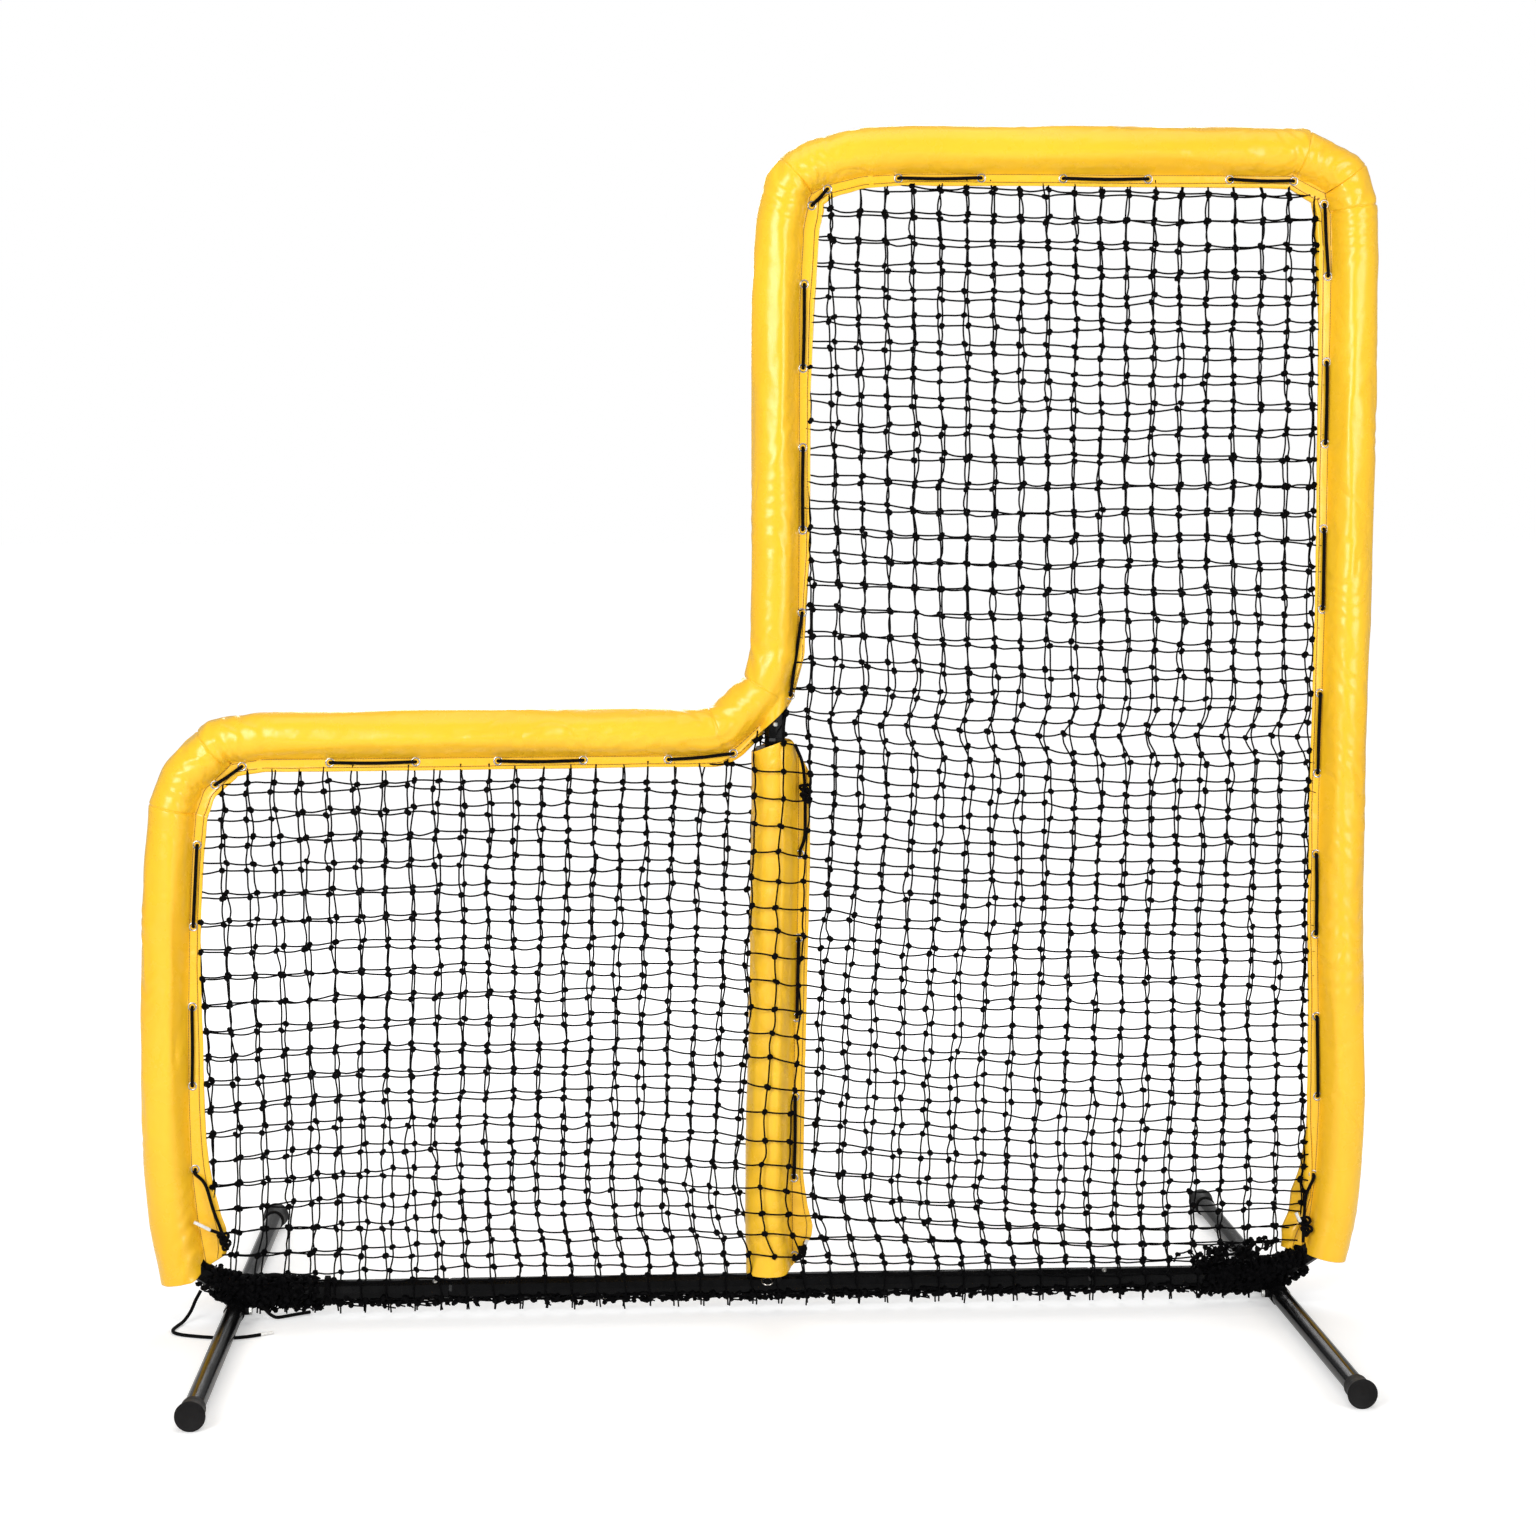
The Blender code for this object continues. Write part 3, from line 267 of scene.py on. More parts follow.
def tube_arrays(points, radius, sides, start=0, caps=True):
    """Corners, faces and UVs of a tube whose frame turns as little as it can."""
    points = np.asarray(points, float)
    tangents = unit(np.gradient(points, axis=0))
    helper = np.eye(3)[np.argmin(np.abs(tangents[0]))]
    side = np.cross(tangents[0], helper)
    side /= np.linalg.norm(side)
    angles = np.arange(sides) * 2 * math.pi / sides
    corners = []
    for point, tangent in zip(points, tangents):
        side = side - tangent * side.dot(tangent)
        side /= np.linalg.norm(side) + 1e-12
        up = np.cross(tangent, side)
        corners.append(point + (np.outer(np.cos(angles), side) + np.outer(np.sin(angles), up)) * radius)
    faces = ring_faces(len(points), sides, start)
    uvs = ring_uvs(travelled(points), sides)
    if caps:
        last = start + (len(points) - 1) * sides
        faces.append(tuple(start + index for index in reversed(range(sides))))
        faces.append(tuple(last + index for index in range(sides)))
        uvs += [(0.5, 0.0)] * (2 * sides)
    return np.vstack(corners), faces, uvs


def tubes_piece(name, lines, material, sides, caps=True):
    """One piece of many tubes; each line is (points, radius)."""
    corners, faces, uvs = [], [], []
    count = 0
    for points, radius in lines:
        more, more_faces, more_uvs = tube_arrays(points, radius, sides, count, caps)
        corners.append(more)
        faces += more_faces
        uvs += more_uvs
        count += len(more)
    return mesh_piece(name, np.vstack(corners), faces, material, uvs)


def turned_arrays(profile, origin, axis, sides, start=0):
    """A profile of (radius, distance) turned about an axis, closed where the radius is zero."""
    along = Vector(axis).normalized()
    helper = Vector((0, 0, 1)) if abs(along.z) < 0.9 else Vector((0, 1, 0))
    side = helper.cross(along).normalized()
    up = along.cross(side)
    corners = []
    for radius, distance in profile:
        for index in range(sides):
            angle = index * 2 * math.pi / sides
            out = side * math.cos(angle) + up * math.sin(angle)
            corners.append(Vector(origin) + along * distance + out * radius)
    return corners, ring_faces(len(profile), sides, start)


def weld(piece, sharp_degrees):
    """Joins corners that meet, turns the faces outwards and shades edges past an angle as sharp."""
    builder = bmesh.new()
    builder.from_mesh(piece.data)
    bmesh.ops.remove_doubles(builder, verts=builder.verts, dist=0.00001)
    bmesh.ops.recalc_face_normals(builder, faces=builder.faces)
    builder.to_mesh(piece.data)
    builder.free()
    piece.data.shade_smooth()
    piece.data.set_sharp_from_angle(angle=math.radians(sharp_degrees))


def turned_piece(name, profile, origin, axis, material, sides):
    corners, faces = turned_arrays(profile, origin, axis, sides)
    piece = mesh_piece(name, corners, faces, material)
    weld(piece, 40)
    return piece


# Materials


def new_node(tree, kind, **values):
    """A shader node with its sockets' values; _ stands for a space in a socket's name."""
    node = tree.nodes.new("ShaderNode" + kind)
    for socket, value in values.items():
        node.inputs[socket.replace("_", " ")].default_value = value
    return node


class Finish:
    """A Principled material and short ways to add texture nodes to it."""

    def __init__(self, name, colour, roughness, metallic=0.0, specular=0.5, coat=None):
        self.material = bpy.data.materials.new(name)
        self.material.use_nodes = True
        self.tree = self.material.node_tree
        self.shader = self.tree.nodes["Principled BSDF"]
        self.set("Base Color", (*colour, 1.0))
        self.set("Roughness", roughness)
        self.set("Metallic", metallic)
        self.set("Specular IOR Level", specular)
        if coat:
            self.set("Coat Weight", coat[0])
            self.set("Coat Roughness", coat[1])
        self.place = self.node("TexCoord")
        self.normal = None

    def set(self, socket, value):
        self.shader.inputs[socket].default_value = value

    def node(self, kind, **values):
        return new_node(self.tree, kind, **values)

    def link(self, source, target):
        self.tree.links.new(source, target)

    def mapped(self, coordinates, **values):
        mapping = self.node("Mapping", **values)
        self.link(self.place.outputs[coordinates], mapping.inputs["Vector"])
        return mapping.outputs["Vector"]

    def noise(self, scale, detail=3.0, roughness=0.5, stretch=(1, 1, 1)):
        texture = self.node("TexNoise", Scale=scale, Detail=detail, Roughness=roughness)
        self.link(self.mapped("Object", Scale=stretch), texture.inputs["Vector"])
        return texture.outputs["Fac"]

    def cells(self, scale):
        texture = self.node("TexVoronoi", Scale=scale)
        self.link(self.mapped("Object"), texture.inputs["Vector"])
        return texture.outputs["Distance"]

    def creases(self, scale):
        """Sharp little folds that wander across patches of the vinyl, along the middle line of a noise."""
        offset = self.node("Math")
        offset.operation = "SUBTRACT"
        offset.inputs[1].default_value = 0.5
        self.link(self.noise(scale, 1.5, 0.4), offset.inputs[0])
        distance = self.node("Math")
        distance.operation = "ABSOLUTE"
        self.link(offset.outputs["Value"], distance.inputs[0])
        ridge = self.spread(distance.outputs["Value"], 0.0, 1.0, 0.0, 0.045)
        patch = self.spread(self.noise(4.0, 2.0), 0.0, 1.0, 0.47, 0.60)
        mix = self.node("Mix", A=1.0)
        self.link(patch, mix.inputs["Factor"])
        self.link(ridge, mix.inputs["B"])
        return mix.outputs["Result"]

    def bands(self, stretch, rotation):
        """Slanting ribs over a tube's UVs, for twist and braid."""
        wave = self.node("TexWave", Scale=1.0)
        self.link(self.mapped("UV", Scale=stretch, Rotation=(0, 0, rotation)), wave.inputs["Vector"])
        return wave.outputs["Fac"]

    def spread(self, value, low, high, start=0.3, end=0.7):
        """A texture's value mapped to a range."""
        ramp = self.node("MapRange", From_Min=start, From_Max=end, To_Min=low, To_Max=high)
        self.link(value, ramp.inputs["Value"])
        return ramp.outputs["Result"]

    def bump(self, height, strength, distance):
        node = self.node("Bump", Strength=strength, Distance=distance)
        self.link(height, node.inputs["Height"])
        if self.normal is not None:
            self.link(self.normal, node.inputs["Normal"])
        self.normal = node.outputs["Normal"]
        self.link(self.normal, self.shader.inputs["Normal"])

    def rough(self, value, low, high):
        self.link(self.spread(value, low, high), self.shader.inputs["Roughness"])

    def tint(self, value, first, second):
        mix = self.node("Mix")
        mix.data_type = "RGBA"
        mix.inputs["A"].default_value = (*first, 1.0)
        mix.inputs["B"].default_value = (*second, 1.0)
        self.link(self.spread(value, 0.0, 1.0), mix.inputs["Factor"])
        self.link(mix.outputs["Result"], self.shader.inputs["Base Color"])


def vinyl_finish():
    """Creased, softly shining vinyl."""
    finish = Finish("yellow_vinyl", (0.95, 0.545, 0.020), 0.30, specular=0.42, coat=(0.16, 0.26))
    finish.tint(finish.noise(3.5, 4.0), (0.955, 0.560, 0.022), (0.93, 0.505, 0.016))
    finish.rough(finish.noise(14.0, 5.0, 0.6), 0.20, 0.34)
    finish.bump(finish.noise(17.0, 3.0, 0.5), 0.60, 0.0040)
    finish.bump(finish.creases(9.0), 0.60, 0.0020)
    finish.bump(finish.noise(95.0, 2.0, 0.5), 0.10, 0.0006)
    finish.bump(finish.cells(1500.0), 0.10, 0.00025)
    return finish.material


def thread_finish():
    # Painted shade: the yellow thread is coloured dark brown to stand for the shaded groove along the stitch
    # line at the foot of the hem.
    finish = Finish("thread_with_painted_groove_shade", (0.26, 0.11, 0.012), 0.6)
    finish.bump(finish.noise(1800.0), 0.4, 0.0002)
    finish.tint(finish.noise(160.0), (0.30, 0.13, 0.014), (0.20, 0.08, 0.010))
    return finish.material


def foam_finish():
    finish = Finish("grey_foam", (0.16, 0.16, 0.165), 0.9, specular=0.2)
    finish.bump(finish.cells(420.0), 0.6, 0.0008)
    finish.tint(finish.noise(60.0), (0.14, 0.14, 0.145), (0.20, 0.20, 0.205))
    return finish.material


def paint_finish():
    """Gloss black powder coat."""
    finish = Finish("black_powder_coat", (0.002, 0.002, 0.0023), 0.17, specular=0.09, coat=(0.03, 0.10))
    finish.rough(finish.noise(18.0, 6.0, 0.65), 0.12, 0.22)
    finish.bump(finish.noise(420.0, 2.0), 0.10, 0.0003)
    finish.tint(finish.noise(60.0, 5.0), (0.0018, 0.0018, 0.002), (0.004, 0.004, 0.0043))
    return finish.material


def rubber_finish():
    finish = Finish("black_rubber", (0.006, 0.006, 0.0063), 0.60, specular=0.14)
    finish.rough(finish.noise(55.0, 5.0, 0.6), 0.50, 0.74)
    finish.bump(finish.noise(700.0, 3.0), 0.25, 0.0003)
    finish.tint(finish.noise(24.0, 5.0, 0.6), (0.005, 0.0048, 0.005), (0.012, 0.011, 0.0112))
    return finish.material


def zinc_finish():
    finish = Finish("zinc_steel", (0.72, 0.72, 0.70), 0.28, metallic=1.0)
    finish.rough(finish.noise(240.0, 4.0), 0.20, 0.42)
    finish.bump(finish.noise(900.0, 2.0, stretch=(1, 1, 0.2)), 0.12, 0.0002)
    finish.tint(finish.noise(150.0, 4.0), (0.76, 0.76, 0.74), (0.60, 0.60, 0.57))
    return finish.material


def nickel_finish():
    finish = Finish("nickel_eyelet", (0.56, 0.525, 0.48), 0.28, metallic=1.0)
    finish.rough(finish.noise(300.0, 4.0), 0.14, 0.32)
    finish.bump(finish.noise(800.0, 2.0), 0.10, 0.0002)
    return finish.material


def cord_finish():
    """Braided lace."""
    finish = Finish("black_cord", (0.003, 0.0028, 0.003), 0.68, specular=0.06)
    finish.bump(finish.bands((5.0, 170.0, 1.0), 0.75), 0.7, 0.0007)
    finish.bump(finish.bands((5.0, 170.0, 1.0), -0.75), 0.7, 0.0007)
    finish.bump(finish.noise(1500.0, 2.0), 0.3, 0.0002)
    finish.tint(finish.noise(260.0, 3.0), (0.0025, 0.0023, 0.0025), (0.006, 0.0055, 0.006))
    return finish.material


def twine_finish():
    """Twisted twine."""
    finish = Finish("black_twine", (0.002, 0.0019, 0.0022), 0.6, specular=0.04)
    finish.bump(finish.bands((4.0, 420.0, 1.0), 0.6), 0.8, 0.0005)
    finish.bump(finish.noise(2200.0, 2.0), 0.3, 0.0002)
    finish.tint(finish.noise(180.0, 3.0), (0.0015, 0.0015, 0.0018), (0.0045, 0.0042, 0.0048))
    return finish.material


def tip_finish():
    """Melted or sleeved lace end."""
    finish = Finish("white_tip", (0.80, 0.79, 0.76), 0.45)
    finish.bump(finish.noise(700.0), 0.2, 0.0002)
    finish.tint(finish.noise(200.0), (0.84, 0.83, 0.80), (0.66, 0.65, 0.62))
    return finish.material


def dress_cad_nodes(finishes):
    """The carried-over solids take the same finishes as the pieces made here."""
    by_slot = {
        "black_powder_coat": "paint",
        "zinc_steel": "zinc",
        "spring_steel": "zinc",
        "black_rubber": "rubber",
        "grey_foam": "foam",
        "yellow_vinyl": "vinyl",
        "black_cord": "cord",
        "black_twine": "twine",
    }
    for part in frame["record"]["subparts"]:
        node = frame["nodes"][part["node"]]
        node.data.materials.clear()
        node.data.materials.append(finishes[by_slot[part["material_slot"]]])


# The padding's path from the bottom left, round the screen, to the bottom right, as (x, z, radius).

outline_corners = [
    (-1.0695, 0.0640, 0.0), (-1.0875, 0.1700, 0.10), (-1.0965, 0.2700, 0.20), (-1.0985, 0.4000, 0.40),
    (-1.0965, 0.5400, 0.40), (-1.0905, 0.7200, 0.40), (-1.0840, 0.8300, 0.30), (-1.0745, 0.9250, 0.012),
    (-1.0490, 0.9960, 0.100), (-0.9680, 1.0725, 0.012), (-0.8800, 1.0855, 0.10), (-0.6000, 1.0865, 0.10),
    (-0.0900, 1.0880, 0.008), (-0.0310, 1.1430, 0.012), (-0.0175, 1.1900, 0.05), (-0.0155, 1.3000, 0.05),
    (-0.0145, 1.8000, 0.10), (-0.0068, 1.9400, 0.10), (0.0080, 2.0110, 0.05), (0.0298, 2.0461, 0.008),
    (0.0838, 2.0778, 0.06), (0.1650, 2.0980, 0.12), (0.2600, 2.1040, 0.20), (0.9570, 2.1035, 0.010),
    (1.0425, 2.0605, 0.05), (1.0678, 2.0406, 0.010), (1.0890, 1.9700, 0.04), (1.0930, 1.8800, 0.20),
    (1.0925, 1.2700, 0.60), (1.0875, 0.9100, 0.60), (1.0885, 0.7300, 0.60), (1.0950, 0.5100, 0.40),
    (1.0990, 0.3800, 0.40), (1.0965, 0.2920, 0.30), (1.0930, 0.2200, 0.20), (1.0845, 0.1460, 0.10),
    (1.0690, 0.0720, 0.0),
]

# Where the corner panels are sewn together, as places on the sleeve's outer edge.

panel_seams = [
    (-1.0745, 0.9250), (-0.9926, 1.0520), (-0.0905, 1.0885), (-0.0312, 1.1430),
    (0.0298, 2.0461), (0.9700, 2.0990), (1.0678, 2.0406), (1.0890, 1.9700),
]

# How far the hem's front and back edges stand past their even line, as (x, z, front, back) along the path.

hem_shifts = [
    (-1.030, 0.066, 0.012, 0.018), (-1.035, 0.100, 0.020, 0.026), (-1.040, 0.150, 0.025, 0.028),
    (-1.045, 0.190, 0.022, 0.022), (-1.050, 0.240, 0.015, 0.015), (-1.052, 0.320, 0.009, 0.009),
    (-1.055, 0.500, 0.007, 0.007), (-1.050, 0.640, 0.001, 0.001), (-1.040, 0.800, 0.000, 0.000),
    (-0.900, 1.043, 0.004, 0.004), (-0.500, 1.045, 0.003, 0.003), (-0.100, 1.045, 0.000, 0.000),
    (0.026, 1.200, -0.010, -0.005), (0.026, 1.280, -0.007, -0.003), (0.027, 1.360, 0.000, 0.000),
    (0.028, 1.640, 0.001, 0.001), (0.033, 1.820, 0.0085, 0.0085), (0.050, 1.950, 0.0085, 0.0085),
    (0.180, 2.060, 0.001, 0.001), (0.900, 2.060, 0.000, 0.002), (1.045, 1.960, 0.004, 0.012),
    (1.048, 1.860, 0.001, 0.008), (1.050, 1.780, 0.000, 0.002), (1.050, 1.270, -0.0015, -0.0015),
    (1.045, 0.911, -0.003, -0.002), (1.050, 0.557, -0.002, 0.000), (1.056, 0.380, 0.004, 0.004),
    (1.054, 0.309, -0.002, 0.002), (1.050, 0.246, -0.0095, 0.006), (1.046, 0.190, -0.014, 0.018),
    (1.040, 0.145, -0.006, 0.018), (1.035, 0.117, 0.0045, 0.024), (1.030, 0.090, 0.006, 0.018),
]


def even_points(marks, step):
    """The line through the marks, divided evenly."""
    along = travelled(marks)
    count = max(2, int(round(along[-1] / step)))
    spots = np.linspace(0, along[-1], count + 1)
    return np.stack([np.interp(spots, along, marks[:, axis]) for axis in range(marks.shape[1])], 1)


def rounded_line(corners, step):
    """Even points along straight runs joined by curves."""
    marks = [np.array(corners[0][:2])]
    for before, corner, after in zip(corners, corners[1:], corners[2:]):
        here = np.array(corner[:2])
        inwards = here - np.array(before[:2])
        outwards = np.array(after[:2]) - here
        room = min(np.linalg.norm(inwards), np.linalg.norm(outwards)) * 0.45
        inwards /= np.linalg.norm(inwards)
        outwards /= np.linalg.norm(outwards)
        turn = math.acos(max(-1.0, min(1.0, float(inwards.dot(outwards)))))
        reach = min(corner[2] * math.tan(turn / 2) + 0.001, room)
        first, last = here - inwards * reach, here + outwards * reach
        for share in np.linspace(0, 1, 9):
            marks.append(first * (1 - share) ** 2 + here * 2 * share * (1 - share) + last * share**2)
    marks.append(np.array(corners[-1][:2]))
    return even_points(np.array(marks), step)


class Run:
    """A padded run: its outer line, its rows' directions to the net, and how far along each row lies."""

    def __init__(self, outline):
        directions = np.gradient(outline, axis=0)
        directions /= np.linalg.norm(directions, axis=1)[:, None]
        across = np.stack([directions[:, 1], -directions[:, 0]], 1)
        half = max(1, int(round(fan_window / np.linalg.norm(outline[1] - outline[0]))))
        padded = np.vstack([np.repeat(across[:1], half, 0), across, np.repeat(across[-1:], half, 0)])
        kernel = np.hanning(2 * half + 3)[1:-1]
        fan = np.stack([np.convolve(padded[:, axis], kernel / kernel.sum(), "valid") for axis in (0, 1)], 1)
        fan /= np.linalg.norm(fan, axis=1)[:, None]
        self.fan = fan
        self.stretch = 1 / np.clip((fan * across).sum(1), 0.7, 1.0)
        self.outline = outline
        self.along = travelled(outline)
        self.hem_marks = self.hem_front = self.hem_back = [0.0]
        self.cuts = []

    def read(self, along, rows):
        return np.array([np.interp(along, self.along, rows[:, axis]) for axis in (0, 1)])

    def at(self, along, across):
        """The place in the screen's plane that far along and that far from the axis towards the net."""
        return self.read(along, self.outline + self.fan * self.stretch[:, None] * (across + sleeve_radius))

    def direction(self, along):
        return self.read(along, self.fan)

    def nearest(self, place, across=0.0):
        line = self.outline + self.fan * (self.stretch * (across + sleeve_radius))[:, None]
        return float(self.along[np.argmin(np.linalg.norm(line - np.asarray(place), axis=1))])


def cover_runs():
    """The run round the screen, cut where one sleeve ends and the next begins, and the centre column's."""
    run = Run(rounded_line(outline_corners, row_step))
    joints = [
        (left_x + bend_radius + seam_reach, shoulder_z),
        (column_x, inner_centre.y + seam_reach),
        (column_x + bend_radius + seam_reach, top_z),
        (right_x, top_z - bend_radius - seam_reach),
    ]
    cuts = [0.0] + [run.nearest(joint) for joint in joints] + [run.along[-1]]
    names = ("left", "shoulder", "upper_column", "top", "right")
    spans = {name: (run, low, high) for name, low, high in zip(names, cuts, cuts[1:])}
    marks = sorted((run.nearest((x, z)), front, back) for x, z, front, back in hem_shifts)
    run.hem_marks, run.hem_front, run.hem_back = zip(*marks)
    run.cuts = [
        (0.0, 1, [-0.0425, 0.017, 0.034, 0.0625], [0.0, -0.003, 0.009, 0.031]),
        (run.along[-1], -1, [-0.0425, -0.010, 0.0605], [0.0, -0.006, -0.002]),
    ]
    outer = column_x - sleeve_radius
    line = [(-0.010, 0.0665), (-0.0105, 0.25), (-0.006, 0.50), (0.0, 0.80), (0.0, 1.031)]
    column = Run(even_points(catmull([(outer + x, z) for x, z in line], 30), row_step))
    column.hem_marks = [0.0, 0.030, 0.060, 0.085, 0.120, 0.180, 0.900]
    column.hem_front = [-0.004, 0.004, 0.017, 0.019, 0.010, 0.001, 0.002]
    column.hem_back = [-0.004, 0.004, 0.013, 0.015, 0.008, 0.001, 0.002]
    column.cuts = [
        (0.0, 1, [0.030, 0.0605], [0.0, 0.028]),
        (column.along[-1], -1, [-0.0425, -0.02, 0.022, 0.034, 0.0605], [0.02, 0.01, -0.006, 0.004, 0.06]),
    ]
    spans["centre_column"] = (column, 0.0, column.along[-1])
    return spans


def profile_points():
    """The sleeve's section as (across, depth, is_round): front flap, round part, back flap.

    Towards the net the round part narrows like a drop, up to the seam at the foot of the flap.
    """
    flap = list(zip(hem_steps, hem_thicknesses))
    points = [(across, -half, False) for across, half in flap]
    for step in range(round_steps + 1):
        angle = drop_angle + (2 * math.pi - 2 * drop_angle) * step / round_steps
        net_side = max(0.0, math.cos(angle))
        across = sleeve_radius * math.cos(angle) * (1 - drop_pull * net_side)
        depth = sleeve_radius * abs(math.sin(angle)) ** (1 + drop_taper * net_side)
        points.append((across, -math.copysign(depth, math.sin(angle)), True))
    return points + [(across, half, False) for across, half in reversed(flap)]


def noise_at(x, y, z):
    return noise.noise(Vector((x, y, z)))


def fold_mask(run, along):
    """How strongly the run bends near a place, and to which side it turns."""
    low = run.direction(max(0.0, along - 0.05))
    high = run.direction(min(run.along[-1], along + 0.05))
    turn = low[0] * high[1] - low[1] * high[0]
    return min(1.0, abs(turn) / 0.45), turn


def skin_push(run, along, across, depth):
    """How far the vinyl stands out of its plain section, from soft lumps and the folds at bends."""
    bend, turn = fold_mask(run, along)
    net_side = across / sleeve_radius
    squeezed = 0.5 + 0.5 * (net_side if turn < 0 else -net_side)
    around = math.atan2(depth, across) * sleeve_radius
    lump = noise_at(along * 5.5, around * 9.0, 3.1) * lump_height
    ripple = noise_at(along * 17.0, around * 11.0, 8.7) * ripple_height
    slant = along + 0.55 * around * (1 if turn < 0 else -1)
    crease = 1.0 - min(1.0, abs(noise_at(slant * 42.0, around * 9.0, 1.9)) * 3.2)
    folds = (noise_at(along * 38.0, around * 10.0, 5.3) - 0.7 * crease) * pucker_height
    share = 0.15 + 0.95 * bend * (0.25 + 0.75 * squeezed)
    return lump + ripple + share * folds + packed_fold(run, along, around, bend)


def packed_fold(run, along, around, bend):
    """Short slanting folds in patches: each rises slowly and drops sharply, as packed vinyl keeps."""
    if along < 0.09 and run.along[-1] > 2:
        bend = max(bend, 0.5)
    patch = noise_at(along * 4.2, around * 9.0, 30.0) * 1.7 + 0.45 * bend
    patch = min(1.0, max(0.0, (patch - 0.09) / 0.34))
    if patch == 0:
        return 0.0
    slant = 1.5 * noise_at(along * 2.3, 5.1, 44.0)
    phase = (along + slant * around) / fold_pitch
    phase += 2.2 * noise_at(along * 9.0, around * 16.0, 21.0)
    share = phase - math.floor(phase)
    height = share / fold_rise if share < fold_rise else (1 - share) / fold_fall
    return fold_height * (0.7 + 0.3 * bend) * patch * (height - 0.45)


def hem_share(across):
    """0 at the foot of the hem and 1 at its edge."""
    return (across - hem_root) / (hem_reach - hem_root)


def hem_wave(run, along, behind=False):
    """How far the hem's edge comes out and how far it leans, at a place along the run."""
    bend, _ = fold_mask(run, along)
    height = 6.1 if behind else 0.3
    reach = noise_at(along * 9.0, 4.4, height) * hem_swell * (0.5 + bend)
    reach += noise_at(along * 31.0, 1.4, height) * hem_ripple * (0.4 + bend)
    lean = noise_at(along * 8.0, 9.4, 2.3) * hem_lean * (0.35 + bend)
    front = np.interp(along, run.hem_marks, run.hem_front)
    back = np.interp(along, run.hem_marks, run.hem_back)
    opening = max(0.0, back - front) * 0.6
    return reach + (back if behind else front), lean + (opening if behind else -opening * 0.25)


def seam_dip(along, seams):
    return sum(seam_depth * math.exp(-(((along - seam) / seam_half_width) ** 2)) for seam in seams)


def hem_notch(along, notch):
    """How far the hem is cut back at the inner corner, which it crosses straight."""
    share = (along - notch) / notch_half if notch else 1
    return notch_depth * (1 - share * share) if abs(share) < 1 else 0.0


def cut_shift(run, along, across):
    """Free ends aren't cut square: rows near them slant to the end's own line."""
    shift = 0.0
    for end, way, marks, heights in run.cuts:
        near = 1 - abs(along - end) / cut_reach
        if near > 0:
            shift += way * np.interp(across, marks, heights) * near * near
    return shift


def over_post(place, across, depth):
    """At the inner corner the vinyl passes over the front and the back of the centre column's upper end."""
    gap = abs(place[0] - column_x)
    if across < post_side or gap >= post_reach:
        return depth
    return math.copysign(max(abs(depth), math.sqrt(post_reach**2 - gap**2)), depth)


def cover_row(run, along, profile, seams, notch, shrink=0.0):
    """One row of the sleeve: round the foam, and out over both faces of the flap."""
    row = []
    dip = seam_dip(along, seams)
    faces = {behind: hem_wave(run, along, behind) for behind in (False, True)}
    for across, depth, is_round in profile:
        spot = along + cut_shift(run, along, across)
        if is_round:
            scale = 1 + (skin_push(run, along, across, depth) - dip - shrink) / sleeve_radius
            flat = run.at(spot, across * scale)
            pushed = depth * scale
            if notch:
                pushed = over_post(flat, across, pushed)
        else:
            reach, lean = faces[depth > 0]
            share = hem_share(across)
            span = hem_reach - hem_root + reach - hem_notch(along, notch)
            flat = run.at(spot, hem_root + span * share - shrink)
            pushed = depth * (1 - 0.3 * share) * (1 - dip / (seam_depth * 3)) + lean * share**1.5
            if notch and abs(flat[0] - column_x) < post_reach:
                pushed = over_post(flat, across, math.copysign(pushed, depth))
        row.append((flat[0], pushed, flat[1]))
    return row


def slack_at(run, along, across, depth):
    """How loose the vinyl is, from 0 to 1: most on the inside of bends, and in soft patches elsewhere."""
    bend, turn = fold_mask(run, along)
    net_side = across / sleeve_radius
    squeezed = max(0.0, net_side if turn < 0 else -net_side)
    around = math.atan2(depth, across) * sleeve_radius
    patch = max(0.0, noise_at(along * 6.0, around * 8.0, 12.7))
    pull = 0.5 + 0.5 * math.sin(along * 2 * math.pi / eyelet_pitch)
    near_hem = max(0.0, net_side - 0.3) * 0.35 * pull
    return min(1.0, 0.10 + 0.75 * patch + near_hem + bend * (0.30 + 0.70 * squeezed))


